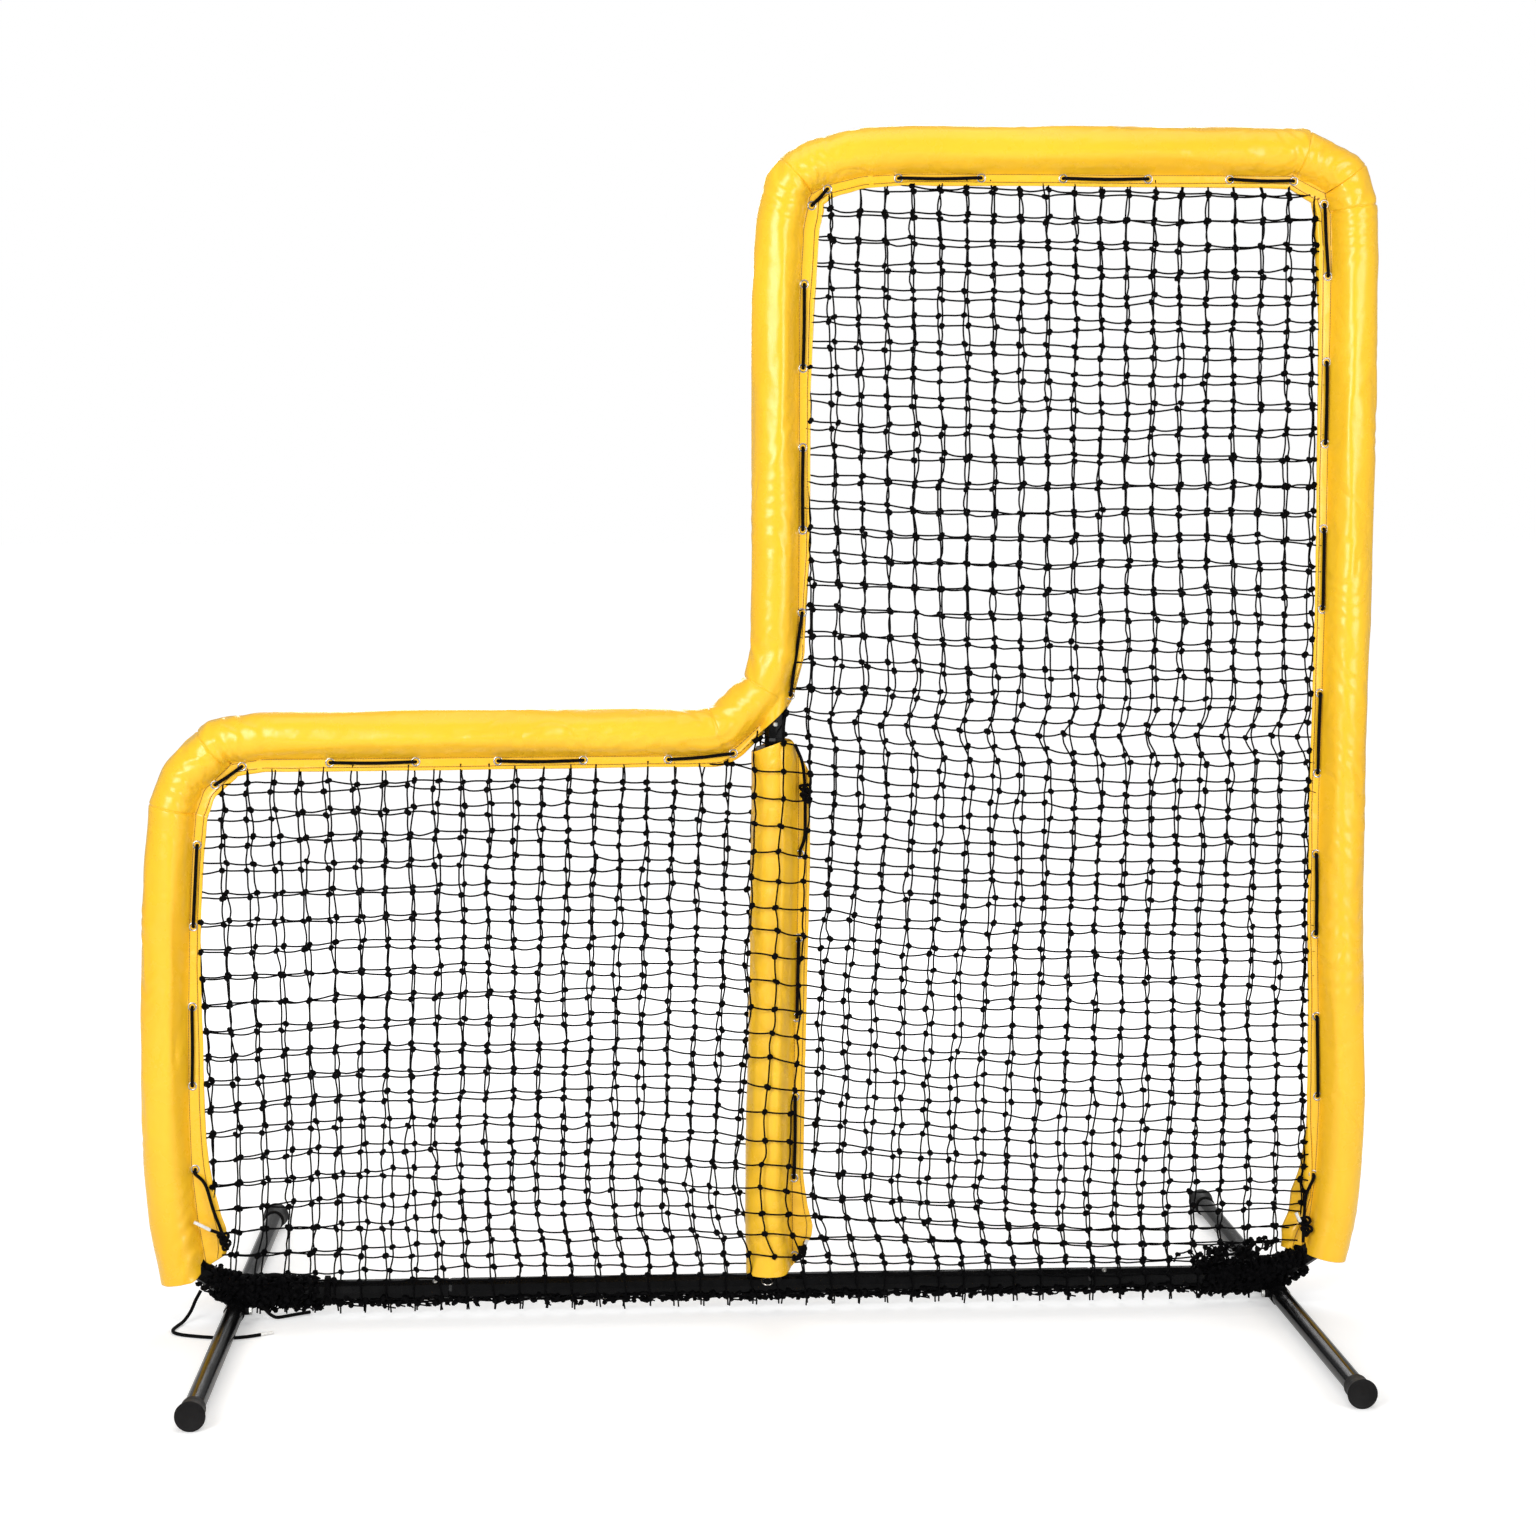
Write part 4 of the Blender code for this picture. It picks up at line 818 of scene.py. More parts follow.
def build_cover(name, run, start, end, seams, notch, free_ends, finishes):
    """A sleeve of vinyl, whose free ends are turned in over the foam."""
    profile = profile_points()
    width = len(profile)
    sewn, loose = [1.0] * width, [0.0] * width
    spots = np.linspace(start, end, max(2, int(round((end - start) / row_step))) + 1)
    own = [seam for seam in seams if start < seam < end]
    for seam in own:
        spots = spots[np.abs(spots - seam) > seam_clearing]
        spots = np.concatenate([spots, seam + np.array(seam_rows)])
    spots = sorted(spots)
    rows = [cover_row(run, along, profile, seams, notch) for along in spots]
    slack = [[slack_at(run, along, across, depth) for across, depth, _ in profile] for along in spots]
    held = []
    for spot in spots:
        hem_only = [float(not is_round) for _, _, is_round in profile]
        hem_only[flap_steps + 1] = hem_only[-flap_steps - 2] = 1.0
        fixed = spot in (spots[0], spots[-1]) or any(abs(spot - seam) < seam_hold for seam in own)
        held.append(sewn if fixed else hem_only)
    for at_start in free_ends:
        edge, way = (spots[0], 1) if at_start else (spots[-1], -1)
        turned_in = [
            cover_row(run, edge + way * 0.0006, profile, seams, notch, 0.0012),
            cover_row(run, edge + way * fold_back, profile, seams, notch, 0.0018),
        ]
        if at_start:
            rows, held, slack = turned_in[::-1] + rows, [sewn] * 2 + held, [loose] * 2 + slack
        else:
            rows, held, slack = rows + turned_in, held + [sewn] * 2, slack + [loose] * 2
    points = [point for row in rows for point in row]
    uvs = ring_uvs([row * row_step for row in range(len(rows))], width)
    cover = mesh_piece("cover_" + name, points, ring_faces(len(rows), width), finishes["vinyl"], uvs)
    attach(cover, nodes=("sleeve_" + name,))
    return cover, np.array(held).ravel(), np.array(slack).ravel()


def weigh(piece, name, weights):
    """A vertex group with the weights to two decimals."""
    group = piece.vertex_groups.new(name=name)
    steps = np.round(weights, 2)
    for step in np.unique(steps):
        if step > 0:
            group.add([int(index) for index in np.flatnonzero(steps == step)], float(step), "REPLACE")


def vertex_places(piece):
    places = np.empty(len(piece.data.vertices) * 3, np.float32)
    piece.data.vertices.foreach_get("co", places)
    return places


def settle_covers(covers):
    """Cloth under a little pressure, sewn down along its hem, so that loose vinyl finds its own folds."""
    for cover, held, slack in covers:
        weigh(cover, "held", held)
        weigh(cover, "slack", slack)
        cloth = cover.modifiers.new("cloth", "CLOTH")
        for name, value in cloth_settings.items():
            setattr(cloth.settings, name, value)
        cloth.settings.effector_weights.gravity = 0
        cloth.collision_settings.use_collision = False
        cloth.point_cache.frame_start = 1
        cloth.point_cache.frame_end = cloth_frames
    scene = bpy.context.scene
    for number in range(1, cloth_frames + 1):
        scene.frame_set(number)
    graph = bpy.context.evaluated_depsgraph_get()
    for cover, held, _ in covers:
        before = vertex_places(cover)
        moved = (vertex_places(cover.evaluated_get(graph)) - before).reshape(-1, 3)
        length = np.linalg.norm(moved, axis=1)[:, None]
        moved *= cloth_cap * np.tanh(length / cloth_cap) / (length + 1e-9)
        moved *= (1 - held)[:, None]
        rows = before.reshape(-1, len(profile_points()), 3)
        middle = rows[:, flap_steps + 1 : -flap_steps - 1].mean(1, keepdims=True)
        outwards = (rows - middle).reshape(-1, 3)
        outwards /= np.linalg.norm(outwards, axis=1)[:, None]
        sunk = np.minimum((moved * outwards).sum(1), 0)
        moved += outwards * (-cloth_sink * np.tanh(-sunk / cloth_sink) - sunk)[:, None]
        cover.modifiers.clear()
        cover.data.vertices.foreach_set("co", before + moved.astype(np.float32).ravel())
        cover.data.update()
    scene.frame_set(1)


def finish_covers(covers):
    for cover, _, _ in covers:
        cover.vertex_groups.clear()
        smooth = cover.modifiers.new("smooth", "SUBSURF")
        smooth.levels = smooth.render_levels = 1


def build_stitches(spans, finishes):
    """Threads along the foot of the hem, on both faces."""
    threads = Twine()
    for run, start, end in spans.values():
        for face in (-1, 1):
            for spot in np.arange(start + stitch_margin, end - stitch_margin, stitch_pitch):
                reach, lean = hem_wave(run, spot, face > 0)
                for across, half in stitch_lines:
                    share = hem_share(across)
                    spread = hem_root + (hem_reach - hem_root + reach) * share
                    line = []
                    for part, rise in stitch_arch:
                        place = spot + part * stitch_pitch
                        flat = run.at(place + cut_shift(run, place, across), spread)
                        line.append((flat[0], face * (half + rise) + lean * share**1.5, flat[1]))
                    threads.strand(line, thread_radius, (0.0, 1.0, 0.0), 4)
    threads.piece("hem_stitches", finishes["thread"], "yellow_vinyl")


def build_foam(name, run, start, end, finishes):
    """The foam tube inside a sleeve, a little short of its ends."""
    sides = foam_sides
    points = []
    for along in np.linspace(start + foam_setback, end - foam_setback, foam_rows):
        for radius in (foam_outer, foam_inner):
            for index in range(sides):
                angle = index * 2 * math.pi / sides
                flat = run.at(along, radius * math.cos(angle))
                points.append((flat[0], radius * math.sin(angle), flat[1]))
    faces = []
    last = (foam_rows - 1) * 2 * sides
    for c in range(sides):
        after = (c + 1) % sides
        for base in range(0, last, 2 * sides):
            above = base + 2 * sides
            faces.append((base + c, base + after, above + after, above + c))
            faces.append((above + sides + c, above + sides + after, base + sides + after, base + sides + c))
        for base in (0, last):
            faces.append((base + c, base + sides + c, base + sides + after, base + after))
    foam = mesh_piece("foam_core_" + name, points, faces, finishes["foam"])
    attach(foam, nodes=("foam_" + name,))


# Eyelets stand at the places that the lacing needs.


def spaced(start, end):
    count = round(math.dist(start, end) / eyelet_pitch)
    shares = [index / count for index in range(count + 1)]
    return [(start[0] + (end[0] - start[0]) * s, start[1] + (end[1] - start[1]) * s) for s in shares]


def on_bend(centre, radius, start, end, shares):
    angles = [start + (end - start) * share for share in shares]
    return [(centre[0] + radius * math.cos(a), centre[1] + radius * math.sin(a)) for a in angles]


def eyelet_places():
    """Places (x, z) up to the centre column, past it, and up the centre column's own sleeve."""
    quarter = math.pi / 2
    low_left, high_right, upper_x = left_x + bend_radius, right_x - bend_radius, column_x + bend_radius
    bend_foot, bend_top = shoulder_z - bend_radius, top_z - bend_radius
    tight, wide = bend_radius - eyelet_line, bend_radius + eyelet_line
    left, right, middle = left_x + eyelet_line, right_x - eyelet_line, column_x + eyelet_line
    low, high = shoulder_z - eyelet_line, top_z - eyelet_line
    inner_x, inner_z = inner_centre
    before = (
        spaced((left, 0.274), (left, bend_foot - 0.040))
        + on_bend((low_left, bend_foot), tight, 2 * quarter, quarter, (0.53, 0.92))
        + spaced((low_left + 0.139, low), (inner_x - 0.040, low))
        + on_bend(inner_centre, wide, math.radians(23) - quarter, 0, (0,))
    )
    after = (
        on_bend(inner_centre, wide, math.radians(66) - quarter, 0, (0,))
        + spaced((middle, inner_z + 0.064), (middle, bend_top - 0.083))
        + on_bend((upper_x, bend_top), tight, 2 * quarter, quarter, (0.35, 0.60))
        + spaced((upper_x + 0.065, high), (high_right - 0.071, high))
        + on_bend((high_right, bend_top), tight, quarter, 0, (0.25, 0.62))
        + spaced((right, bend_top - 0.068), (right, 0.232))
    )
    return before, after, spaced((middle, 0.095), (middle, 0.824))


def seat_eyelet(run, place):
    """Where an eyelet sits on the hem."""
    along = run.nearest(place, eyelet_line)
    across = np.interp(along - run.along[-1], [-2.0, -1.8, -1.2, -0.7], [0.0478, 0.0470, 0.0455, 0.0445])
    flat = run.at(along, across)
    _, lean = hem_wave(run, along)
    return Vector((flat[0], lean * hem_share(across) ** 1.5, flat[1]))


def build_eyelets(seats, finishes):
    """Rolled metal rings on both faces of the hem."""
    middle = (eyelet_outer + eyelet_bore) / 2
    half = (eyelet_outer - eyelet_bore) / 2
    profile = []
    for angle in np.linspace(0, math.pi, 9):
        profile.append((middle + half * math.cos(angle), hem_half * 0.9 + eyelet_height * math.sin(angle)))
    mirrored = [(radius, -distance) for radius, distance in reversed(profile)]
    loop = profile + mirrored + profile[:1]
    corners, faces = [], []
    for seat in seats:
        more, more_faces = turned_arrays(loop, seat, (0, 1, 0), 24, len(corners))
        corners += more
        faces += more_faces
    attach(mesh_piece("eyelet_rings", corners, faces, finishes["nickel"]))


def build_foot_grommet(finishes):
    """The large ring under the centre sleeve's front, against the rail."""
    middle, half = 0.0094, 0.0021
    ring = []
    for step in range(13):
        angle = 2 * math.pi * step / 12
        ring.append((middle + half * math.cos(angle), 0.0012 * math.sin(angle)))
    place, facing = (0.011, -0.0225, 0.0570), (0, -0.5, 0.866)
    attach(turned_piece("foot_grommet", ring, place, facing, finishes["nickel"], 40))


# Lacing

lace_starts = {
    "round_screen": [
        (-0.9500, -0.0145, 0.1270), (-0.9545, -0.0145, 0.1420), (-0.9600, -0.0140, 0.1600),
        (-0.9740, -0.0110, 0.1980), (-0.9880, -0.0085, 0.2450),
    ],
    "centre_column": [(0.0790, -0.0150, 0.1260), (0.0785, -0.0150, 0.1120), (0.0777, -0.0120, 0.1000)],
}
lace_ends = {
    "round_screen": [
        (0.9925, -0.0085, 0.1950), (0.9885, -0.0135, 0.1600),
        (0.9860, -0.0200, 0.1430), (0.9820, -0.0350, 0.1150),
    ],
    "centre_column": [
        (0.0785, -0.0080, 0.8600), (0.0790, -0.0125, 0.9210), (0.0785, -0.0145, 0.9450),
        (0.0740, -0.0200, 0.9900), (0.0600, -0.0240, 1.0250),
    ],
}
lace_knots = [
    ((-0.9570, -0.0160, 0.1500), 0.0105), ((-0.9530, -0.0190, 0.1380), 0.0095),
    ((0.9875, -0.0190, 0.1490), 0.0110), ((0.9910, -0.0230, 0.1340), 0.0100),
    ((0.0745, -0.0155, 0.1120), 0.0070), ((0.0786, -0.0160, 0.9450), 0.0100),
    ((0.0790, -0.0175, 0.9320), 0.0085),
]
lace_stubs = [
    [(-0.957, -0.018, 0.156), (-0.970, -0.027, 0.164), (-0.980, -0.030, 0.169), (-1.006, -0.031, 0.183)],
    [(0.984, -0.021, 0.144), (0.980, -0.026, 0.148), (0.977, -0.027, 0.153), (0.970, -0.028, 0.168)],
    [(0.0750, -0.016, 0.113), (0.0785, -0.019, 0.119), (0.0800, -0.019, 0.123), (0.0830, -0.018, 0.130)],
]


def lace_line(seats, front=True):
    """A lace through the eyelets, in turn over the front and over the back of the hem."""
    face = hem_half + eyelet_height + lace_radius
    points = []
    for index, seat in enumerate(seats):
        last = index + 1 == len(seats)
        before = seats[index - 1] if index else seat * 2 - seats[1]
        after = seat * 2 - seats[index - 1] if last else seats[index + 1]
        to_before, to_after = (before - seat).normalized(), (after - seat).normalized()
        rise = Vector((0, -face if front else face, 0))
        points += [
            seat + to_before * 0.0075 + rise,
            seat + to_before * 0.0016 + rise * 0.9,
            seat,
            seat + to_after * 0.0016 - rise * 0.9,
            seat + to_after * 0.0075 - rise,
        ]
        if not last:
            span = after - seat
            droop = -0.0015 * abs(span.x) / max(span.length, 0.001)
            points.append(seat + span * 0.5 - rise + Vector((0.0008 * math.sin(index * 2.1), 0, droop)))
        front = not front
    return points


def build_lacing(before, after, column, finishes):
    """The lace round the screen, which passes behind the centre column's top, and the column's own."""
    behind_column = (column_x, tube_radius + 0.0075, 1.0575)
    middles = {
        "round_screen": [*lace_line(before), behind_column, *lace_line(after, False)],
        "centre_column": lace_line(column),
    }
    for name, middle in middles.items():
        points = catmull([tuple(point) for point in [*lace_starts[name], *middle, *lace_ends[name]]], 4)
        lace = tubes_piece("lacing_" + name, [(points, lace_radius)], finishes["cord"], 12)
        attach(lace, nodes=("lace_" + name,))


def knot_line(centre, size):
    """A lace's overhand knot: a line that winds about itself."""
    line = []
    for angle in np.linspace(0, 2 * math.pi, 27):
        x = math.sin(angle) + 2 * math.sin(2 * angle)
        y = math.cos(angle) - 2 * math.cos(2 * angle)
        z = -math.sin(3 * angle)
        line.append((centre[0] + x * size / 3, centre[1] + z * size / 2.2, centre[2] + y * size / 3))
    return line


def build_knots(finishes):
    """The knots that end the lacing."""
    lines = [(knot_line(spot, size), lace_radius * 0.92) for spot, size in lace_knots]
    attach(tubes_piece("lacing_knots", lines, finishes["cord"], 10, caps=False))


def build_lace_tips(finishes):
    """Short ends of lace past the knots, in white sleeves."""
    lines = [catmull(points, 6) for points in lace_stubs]
    stubs = [(line[:13], lace_radius) for line in lines]
    tips = [(line[11:], lace_radius * 1.04) for line in lines]
    attach(tubes_piece("lace_stubs", stubs, finishes["cord"], 12))
    attach(tubes_piece("lace_tips", tips, finishes["tip"], 12))


# Loose ends of lace, as (route, diameter)

loose_laces = {
    "floor_loop": ([
        (-0.9999, -0.0044, 0.0516), (-1.0085, -0.0110, 0.0360), (-1.0160, -0.0220, 0.0190),
        (-1.0260, -0.0390, 0.0065), (-1.0350, -0.0600, 0.0034), (-1.0390, -0.0820, 0.0034),
        (-1.0340, -0.1000, 0.0034), (-1.0190, -0.1130, 0.0034), (-0.9980, -0.1220, 0.0034),
        (-0.9770, -0.1290, 0.0034), (-0.9520, -0.1350, 0.0034), (-0.9290, -0.1370, 0.0034),
        (-0.9060, -0.1320, 0.0034), (-0.8850, -0.1220, 0.0034), (-0.8630, -0.1090, 0.0034),
    ], loose_lace_diameter),
    "floor_end": ([
        (-0.9083, -0.0170, 0.0270), (-0.8950, -0.0175, 0.0262), (-0.8860, -0.0185, 0.0200),
        (-0.8770, -0.0190, 0.0105), (-0.8660, -0.0170, 0.0040), (-0.8530, -0.0110, 0.0034),
        (-0.8390, -0.0020, 0.0034), (-0.8240, 0.0065, 0.0034), (-0.8090, 0.0150, 0.0034),
    ], loose_lace_diameter),
    "rail_end": ([
        (-0.8976, -0.0060, 0.0705), (-0.8905, -0.0055, 0.0737), (-0.8830, -0.0050, 0.0764),
        (-0.8700, -0.0045, 0.0778), (-0.8560, -0.0040, 0.0758), (-0.8380, -0.0030, 0.0712),
    ], thick_lace_diameter),
}


def smooth_route(route, step):
    """A smooth line through a route, with enough pieces for its longest gap."""
    longest = max(math.dist(first, second) for first, second in zip(route, route[1:]))
    return catmull(route, max(1, round(longest / step)))


def build_loose_laces(finishes):
    for name, (route, diameter) in loose_laces.items():
        points = smooth_route(route, diameter / 2)
        lace = tubes_piece("loose_lace_" + name, [(points, diameter / 2)], finishes["cord"], 14)
        attach(lace, nodes=("lace_" + name,))
        tips = []
        if name == "floor_loop":
            line = np.vstack([points[-8:], points[-1] * 1.1 - points[-2] * 0.1])
            tips = [tubes_piece("loose_tip_" + name, [(line, diameter / 2 + 0.0002)], finishes["tip"], 14)]
            attach(tips[0])


# Net


def lump_shape():
    """A cube divided into small squares, pulled round and dented where turns of twine cross."""
    builder = bmesh.new()
    bmesh.ops.create_cube(builder, size=2.0)
    bmesh.ops.subdivide_edges(builder, edges=builder.edges, cuts=2, use_grid_fill=True)
    places = []
    for corner in builder.verts:
        way = corner.co.normalized()
        grooves = 0.16 * math.sin(5.0 * way.x + 4.0 * way.z) * math.cos(3.0 * way.y - 2.0 * way.z)
        places.append(way * (1.0 + grooves))
    faces = [[corner.index for corner in face.verts] for face in builder.faces]
    builder.free()
    return np.array(places), np.array(faces)


knot_lump, knot_faces = lump_shape()


class Twine:
    """Gathers many strands and knots into one mesh."""

    def __init__(self):
        self.corners, self.faces, self.uvs, self.count = [], [], [], 0

    def gather(self, corners, faces, uvs):
        self.corners.append(corners)
        self.faces.append(faces + self.count)
        self.uvs.append(uvs)
        self.count += len(corners)

    def strand(self, points, radius, helper, sides=twine_sides):
        points = np.asarray(points, float)
        if len(points) < 2:
            return
        tangents = unit(np.gradient(points, axis=0))
        side = unit(np.cross(tangents, helper))[:, None]
        up = np.cross(tangents, side[:, 0])[:, None]
        angles = (np.arange(sides) * 2 * math.pi / sides)[None, :, None]
        rings = points[:, None] + radius * (np.cos(angles) * side + np.sin(angles) * up)
        rows = np.arange(len(points) - 1)[:, None] * sides
        first = np.arange(sides)[None, :]
        after = (first + 1) % sides
        quads = np.stack([rows + first, rows + after, rows + sides + after, rows + sides + first], -1)
        along = travelled(points)
        low, high = np.repeat(along[:-1], sides), np.repeat(along[1:], sides)
        left = np.tile(np.arange(sides) / sides, len(points) - 1)
        right = left + 1 / sides
        uvs = np.stack([left, low, right, low, right, high, left, high], 1).reshape(-1, 2)
        self.gather(rings.reshape(-1, 3), quads.reshape(-1, 4), uvs)

    def knot(self, centre, size, turn):
        """A lump of crossed turns, four-sided all over, longer along its slant."""
        shape = knot_lump * np.array(size)
        c, s = math.cos(turn), math.sin(turn)
        x = shape[:, 0] * c - shape[:, 2] * s
        z = shape[:, 0] * s + shape[:, 2] * c
        uvs = shape[knot_faces.ravel()][:, [0, 2]] * 8.0
        self.gather(np.stack([x, shape[:, 1], z], 1) + np.asarray(centre), knot_faces, uvs)

    def piece(self, name, material, slot="black_twine", nodes=()):
        corners, faces, uvs = (np.vstack(rows) for rows in (self.corners, self.faces, self.uvs))
        made = mesh_piece(name, corners.tolist(), faces.tolist(), material, uvs)
        attach(made, nodes=nodes)


def any_knot(twine, picker, place, low, high, shape=(1, 1, 1)):
    """A knot of any size between two, turned any way."""
    size = knot_radius * picker.uniform(low, high, 3) * shape
    twine.knot(place, size, picker.uniform(0, 3.1))


def waves(x, z, seed, length):
    """Smooth wander from -1 to 1 over the screen's plane."""
    picker = np.random.default_rng(seed)
    total = 0.0
    for _ in range(5):
        angle = picker.uniform(0, 2 * math.pi)
        pace = 2 * math.pi / (length * picker.uniform(0.6, 1.6))
        total = total + np.sin(pace * (x * math.cos(angle) + z * math.sin(angle)) + picker.uniform(0, 6.3))
    return total / 3.2


def eased(values, marks, heights):
    """A table read through a smooth curve rather than straight pieces."""
    fine = np.linspace(marks[0], marks[-1], 241)
    rough = np.interp(fine, marks, heights)
    kernel = np.hanning(27)
    padded = np.pad(rough, 13, "edge")
    return np.interp(values, fine, np.convolve(padded, kernel / kernel.sum(), "valid"))


def soft_step(share):
    share = np.clip(share, 0, 1)
    return share * share * (3 - 2 * share)


def tube_line_z(x):
    """Height of the bottom tube's axis, which turns up in the corner bends."""
    past = np.clip(np.abs(x) - (right_x - bend_radius), 0, bend_radius * 0.98)
    return rail_z + bend_radius - np.sqrt(bend_radius**2 - past**2)


# How far the net falls and leans, as (x, how far) and (z, its share of that).

left_fall = ([-1.1, -0.98, -0.75, -0.45, 1.1], [-0.024, -0.022, -0.007, 0.0, 0.0])
left_shares = ([0.0, 0.10, 0.25, 0.50, 0.80, 1.05, 2.2], [0.1, 0.7, 1.2, 0.8, 0.3, 0.0, 0.0])
right_fall = (
    [-1.1, -0.45, -0.15, 0.03, 0.20, 0.40, 0.60, 1.1],
    [0, 0, -0.006, -0.022, -0.045, -0.066, -0.076, -0.080],
)
right_shares = ([0.0, 0.10, 0.25, 0.85, 1.05, 1.25, 1.6, 2.2], [0.1, 0.5, 1.0, 0.9, 0.7, 0.5, 0.42, 0.36])
low_lean = (
    [-1.1, -0.95, -0.70, -0.40, -0.10, 0.05, 0.30, 0.60, 1.1],
    [0.03, 0.03, 0, -0.02, -0.045, -0.055, -0.045, -0.02, 0],
)


class NetFace:
    """The front or the rear face of the bag net."""

    def __init__(self, front, edge):
        self.way = -1.0 if front else 1.0
        self.strength = 1.0 if front else 0.72
        self.seed = 100 if front else 200
        self.kink = 0.020 if front else 0.007
        self.edge = edge
        self.closed = np.vstack([edge, [[edge[-1][0], -0.2], [edge[0][0], -0.2]]])

    def inside(self, x, z):
        hits = np.zeros(x.shape, bool)
        for (x0, z0), (x1, z1) in zip(self.closed, np.roll(self.closed, -1, 0)):
            if z0 != z1:
                crossing = (z0 > z) != (z1 > z)
                hits ^= crossing & (x < (x1 - x0) * (z - z0) / (z1 - z0) + x0)
        return hits

    def to_edge(self, x, z):
        gap = np.full(x.shape, 9.0)
        for x0, z0 in self.edge[::2]:
            gap = np.minimum(gap, (x - x0) ** 2 + (z - z0) ** 2)
        return np.sqrt(gap)

    def waves(self, x, z, number, length):
        return waves(x, z, self.seed + number, length)

    def flow(self, x, z):
        """Where tension and slack carry a point of the flat net, in the screen's plane."""
        lower = np.clip((z - 0.03) / 0.16, 0, 1)
        rise = eased(x, *left_fall) * eased(z, *left_shares)
        rise = rise + eased(x, *right_fall) * eased(z, *right_shares) * (0.3 + 0.7 * self.strength)
        under = np.clip(1.04 - z, 0, 1.0) * eased(x, *low_lean) * np.clip(z / 0.25, 0.35, 1)
        over = -0.012 * np.clip(z - 1.1, 0, 1.0)
        kink = -self.kink * np.exp(-(((z - 1.085) / 0.030) ** 2)) * np.clip((x - 0.05) / 0.10, 0, 1)
        wander = 0.0055 * self.waves(x, z, 1, 0.55) + 0.0025 * self.waves(x, z, 2, 0.17)
        wander_up = 0.0065 * self.waves(x, z, 3, 0.60) + 0.0028 * self.waves(x, z, 4, 0.15)
        across = (under + over + kink + wander) * (0.3 + 0.7 * lower)
        return x + across, z + (rise + wander_up) * (0.15 + 0.85 * lower)

    def bulge(self, x, z):
        """How far this face stands from the screen's middle plane, over the centre column's padding."""
        plateau = 0.034
        left_edge, right_edge = -0.99, 0.995
        left_slope = (x - left_edge) / (column_x - plateau - left_edge)
        right_slope = (right_edge - x) / (right_edge - column_x - plateau)
        tent = np.clip(np.minimum(left_slope, right_slope), 0, 1)
        height = 1 / (1 + (np.clip(z - 1.03, 0, 2) / 0.20) ** 2)
        soft = 0.0045 * self.waves(x, z, 5, 0.35) * np.clip(1.3 - np.abs(x - column_x) * 0.6, 0.5, 1)
        near_column = np.exp(-(((x - column_x) / 0.07) ** 2)) * (z < 1.06)
        return (sleeve_radius + 0.0045) * tent * height + soft * (1 - near_column) + 0.004

    def place(self, x0, z0):
        """A point of the flat net in its place, drawn in to the frame's edge and wrapped round the rail."""
        x, z = self.flow(x0, z0)
        tube_z = tube_line_z(x)
        wrap = tube_radius + edge_thickness + 0.0012 * self.waves(x, z, 6, 0.05)
        near_tube = soft_step((z - tube_z - 0.012) / 0.075)
        dive = soft_step(self.to_edge(x, z) / 0.055)
        depth = wrap * (1 - near_tube) + self.bulge(x, z) * near_tube * dive
        past = np.clip((tube_z - z) / wrap, 0, math.pi / 2)
        round_z = tube_z - wrap * np.sin(past) - np.clip(tube_z - z - wrap * math.pi / 2, 0, 1)
        under = z < tube_z
        y = np.where(under, wrap * np.cos(past), depth)
        return np.stack([x, self.way * y, np.where(under, round_z, z)], -1)


def build_net_face(front, edge, twine):
    """Strands up and across between the knots, kept where they lie inside the edge."""
    face = NetFace(front, edge)
    picker = np.random.default_rng(face.seed)
    columns = np.arange(-1.045, 1.06, mesh_width) + (0.0 if front else 0.003)
    rows = np.arange(-0.020, 2.10, mesh_height) + (0.0 if front else 0.006)
    jitter = picker.uniform(-knot_shift, knot_shift, (len(columns), len(rows), 2))

    def line(starts, jitters, upright):
        """Points through the knots of one line of the net, two between each pair, then smoothed."""
        marks = []
        for first, second, shift, after in zip(starts, starts[1:], jitters, jitters[1:]):
            bow = picker.normal(0, strand_bow)
            for piece in range(strand_pieces):
                share = piece / strand_pieces
                spot = np.array(first) * (1 - share) + np.array(second) * share
                spot = spot + shift * (1 - share) + after * share
                if piece:
                    sideways = bow * (1.0 if piece == 1 else 0.8) + picker.normal(0, 0.0004)
                    spot = spot + ((sideways, 0) if upright else (0, sideways * 0.7 - 0.0012))
                marks.append(spot)
        marks = np.array(marks + [np.array(starts[-1]) + jitters[-1]])
        return catmull(face.place(marks[:, 0], marks[:, 1]), 2)

    def add(points, helper):
        spots = np.flatnonzero(face.inside(points[:, 0], points[:, 2]) & (points[:, 2] > 0.010))
        if len(spots):
            for run in np.split(spots, np.flatnonzero(np.diff(spots) > 1) + 1):
                twine.strand(points[max(0, run[0] - 1) : run[-1] + 2], twine_radius, helper)

    for i, x in enumerate(columns):
        add(line([(x, z) for z in rows], jitter[i], True), (1.0, 0.0, 0.0))
    for j, z in enumerate(rows):
        add(line([(x, z) for x in columns], jitter[:, j], False), (0.0, 0.0, 1.0))
    grid_x, grid_z = np.meshgrid(columns, rows, indexing="ij")
    knots = face.place((grid_x + jitter[..., 0]).ravel(), (grid_z + jitter[..., 1]).ravel())
    held = face.inside(knots[:, 0], knots[:, 2]) & (face.to_edge(knots[:, 0], knots[:, 2]) > 0.006)
    for index in np.flatnonzero(held & (knots[:, 2] > 0.012)):
        slant = 0.8 if index % 2 else -0.7
        size = knot_radius * picker.uniform(0.88, 1.14, 3) * (1.22, 0.85, 0.92)
        twine.knot(knots[index], size, slant + picker.uniform(-0.5, 0.5))


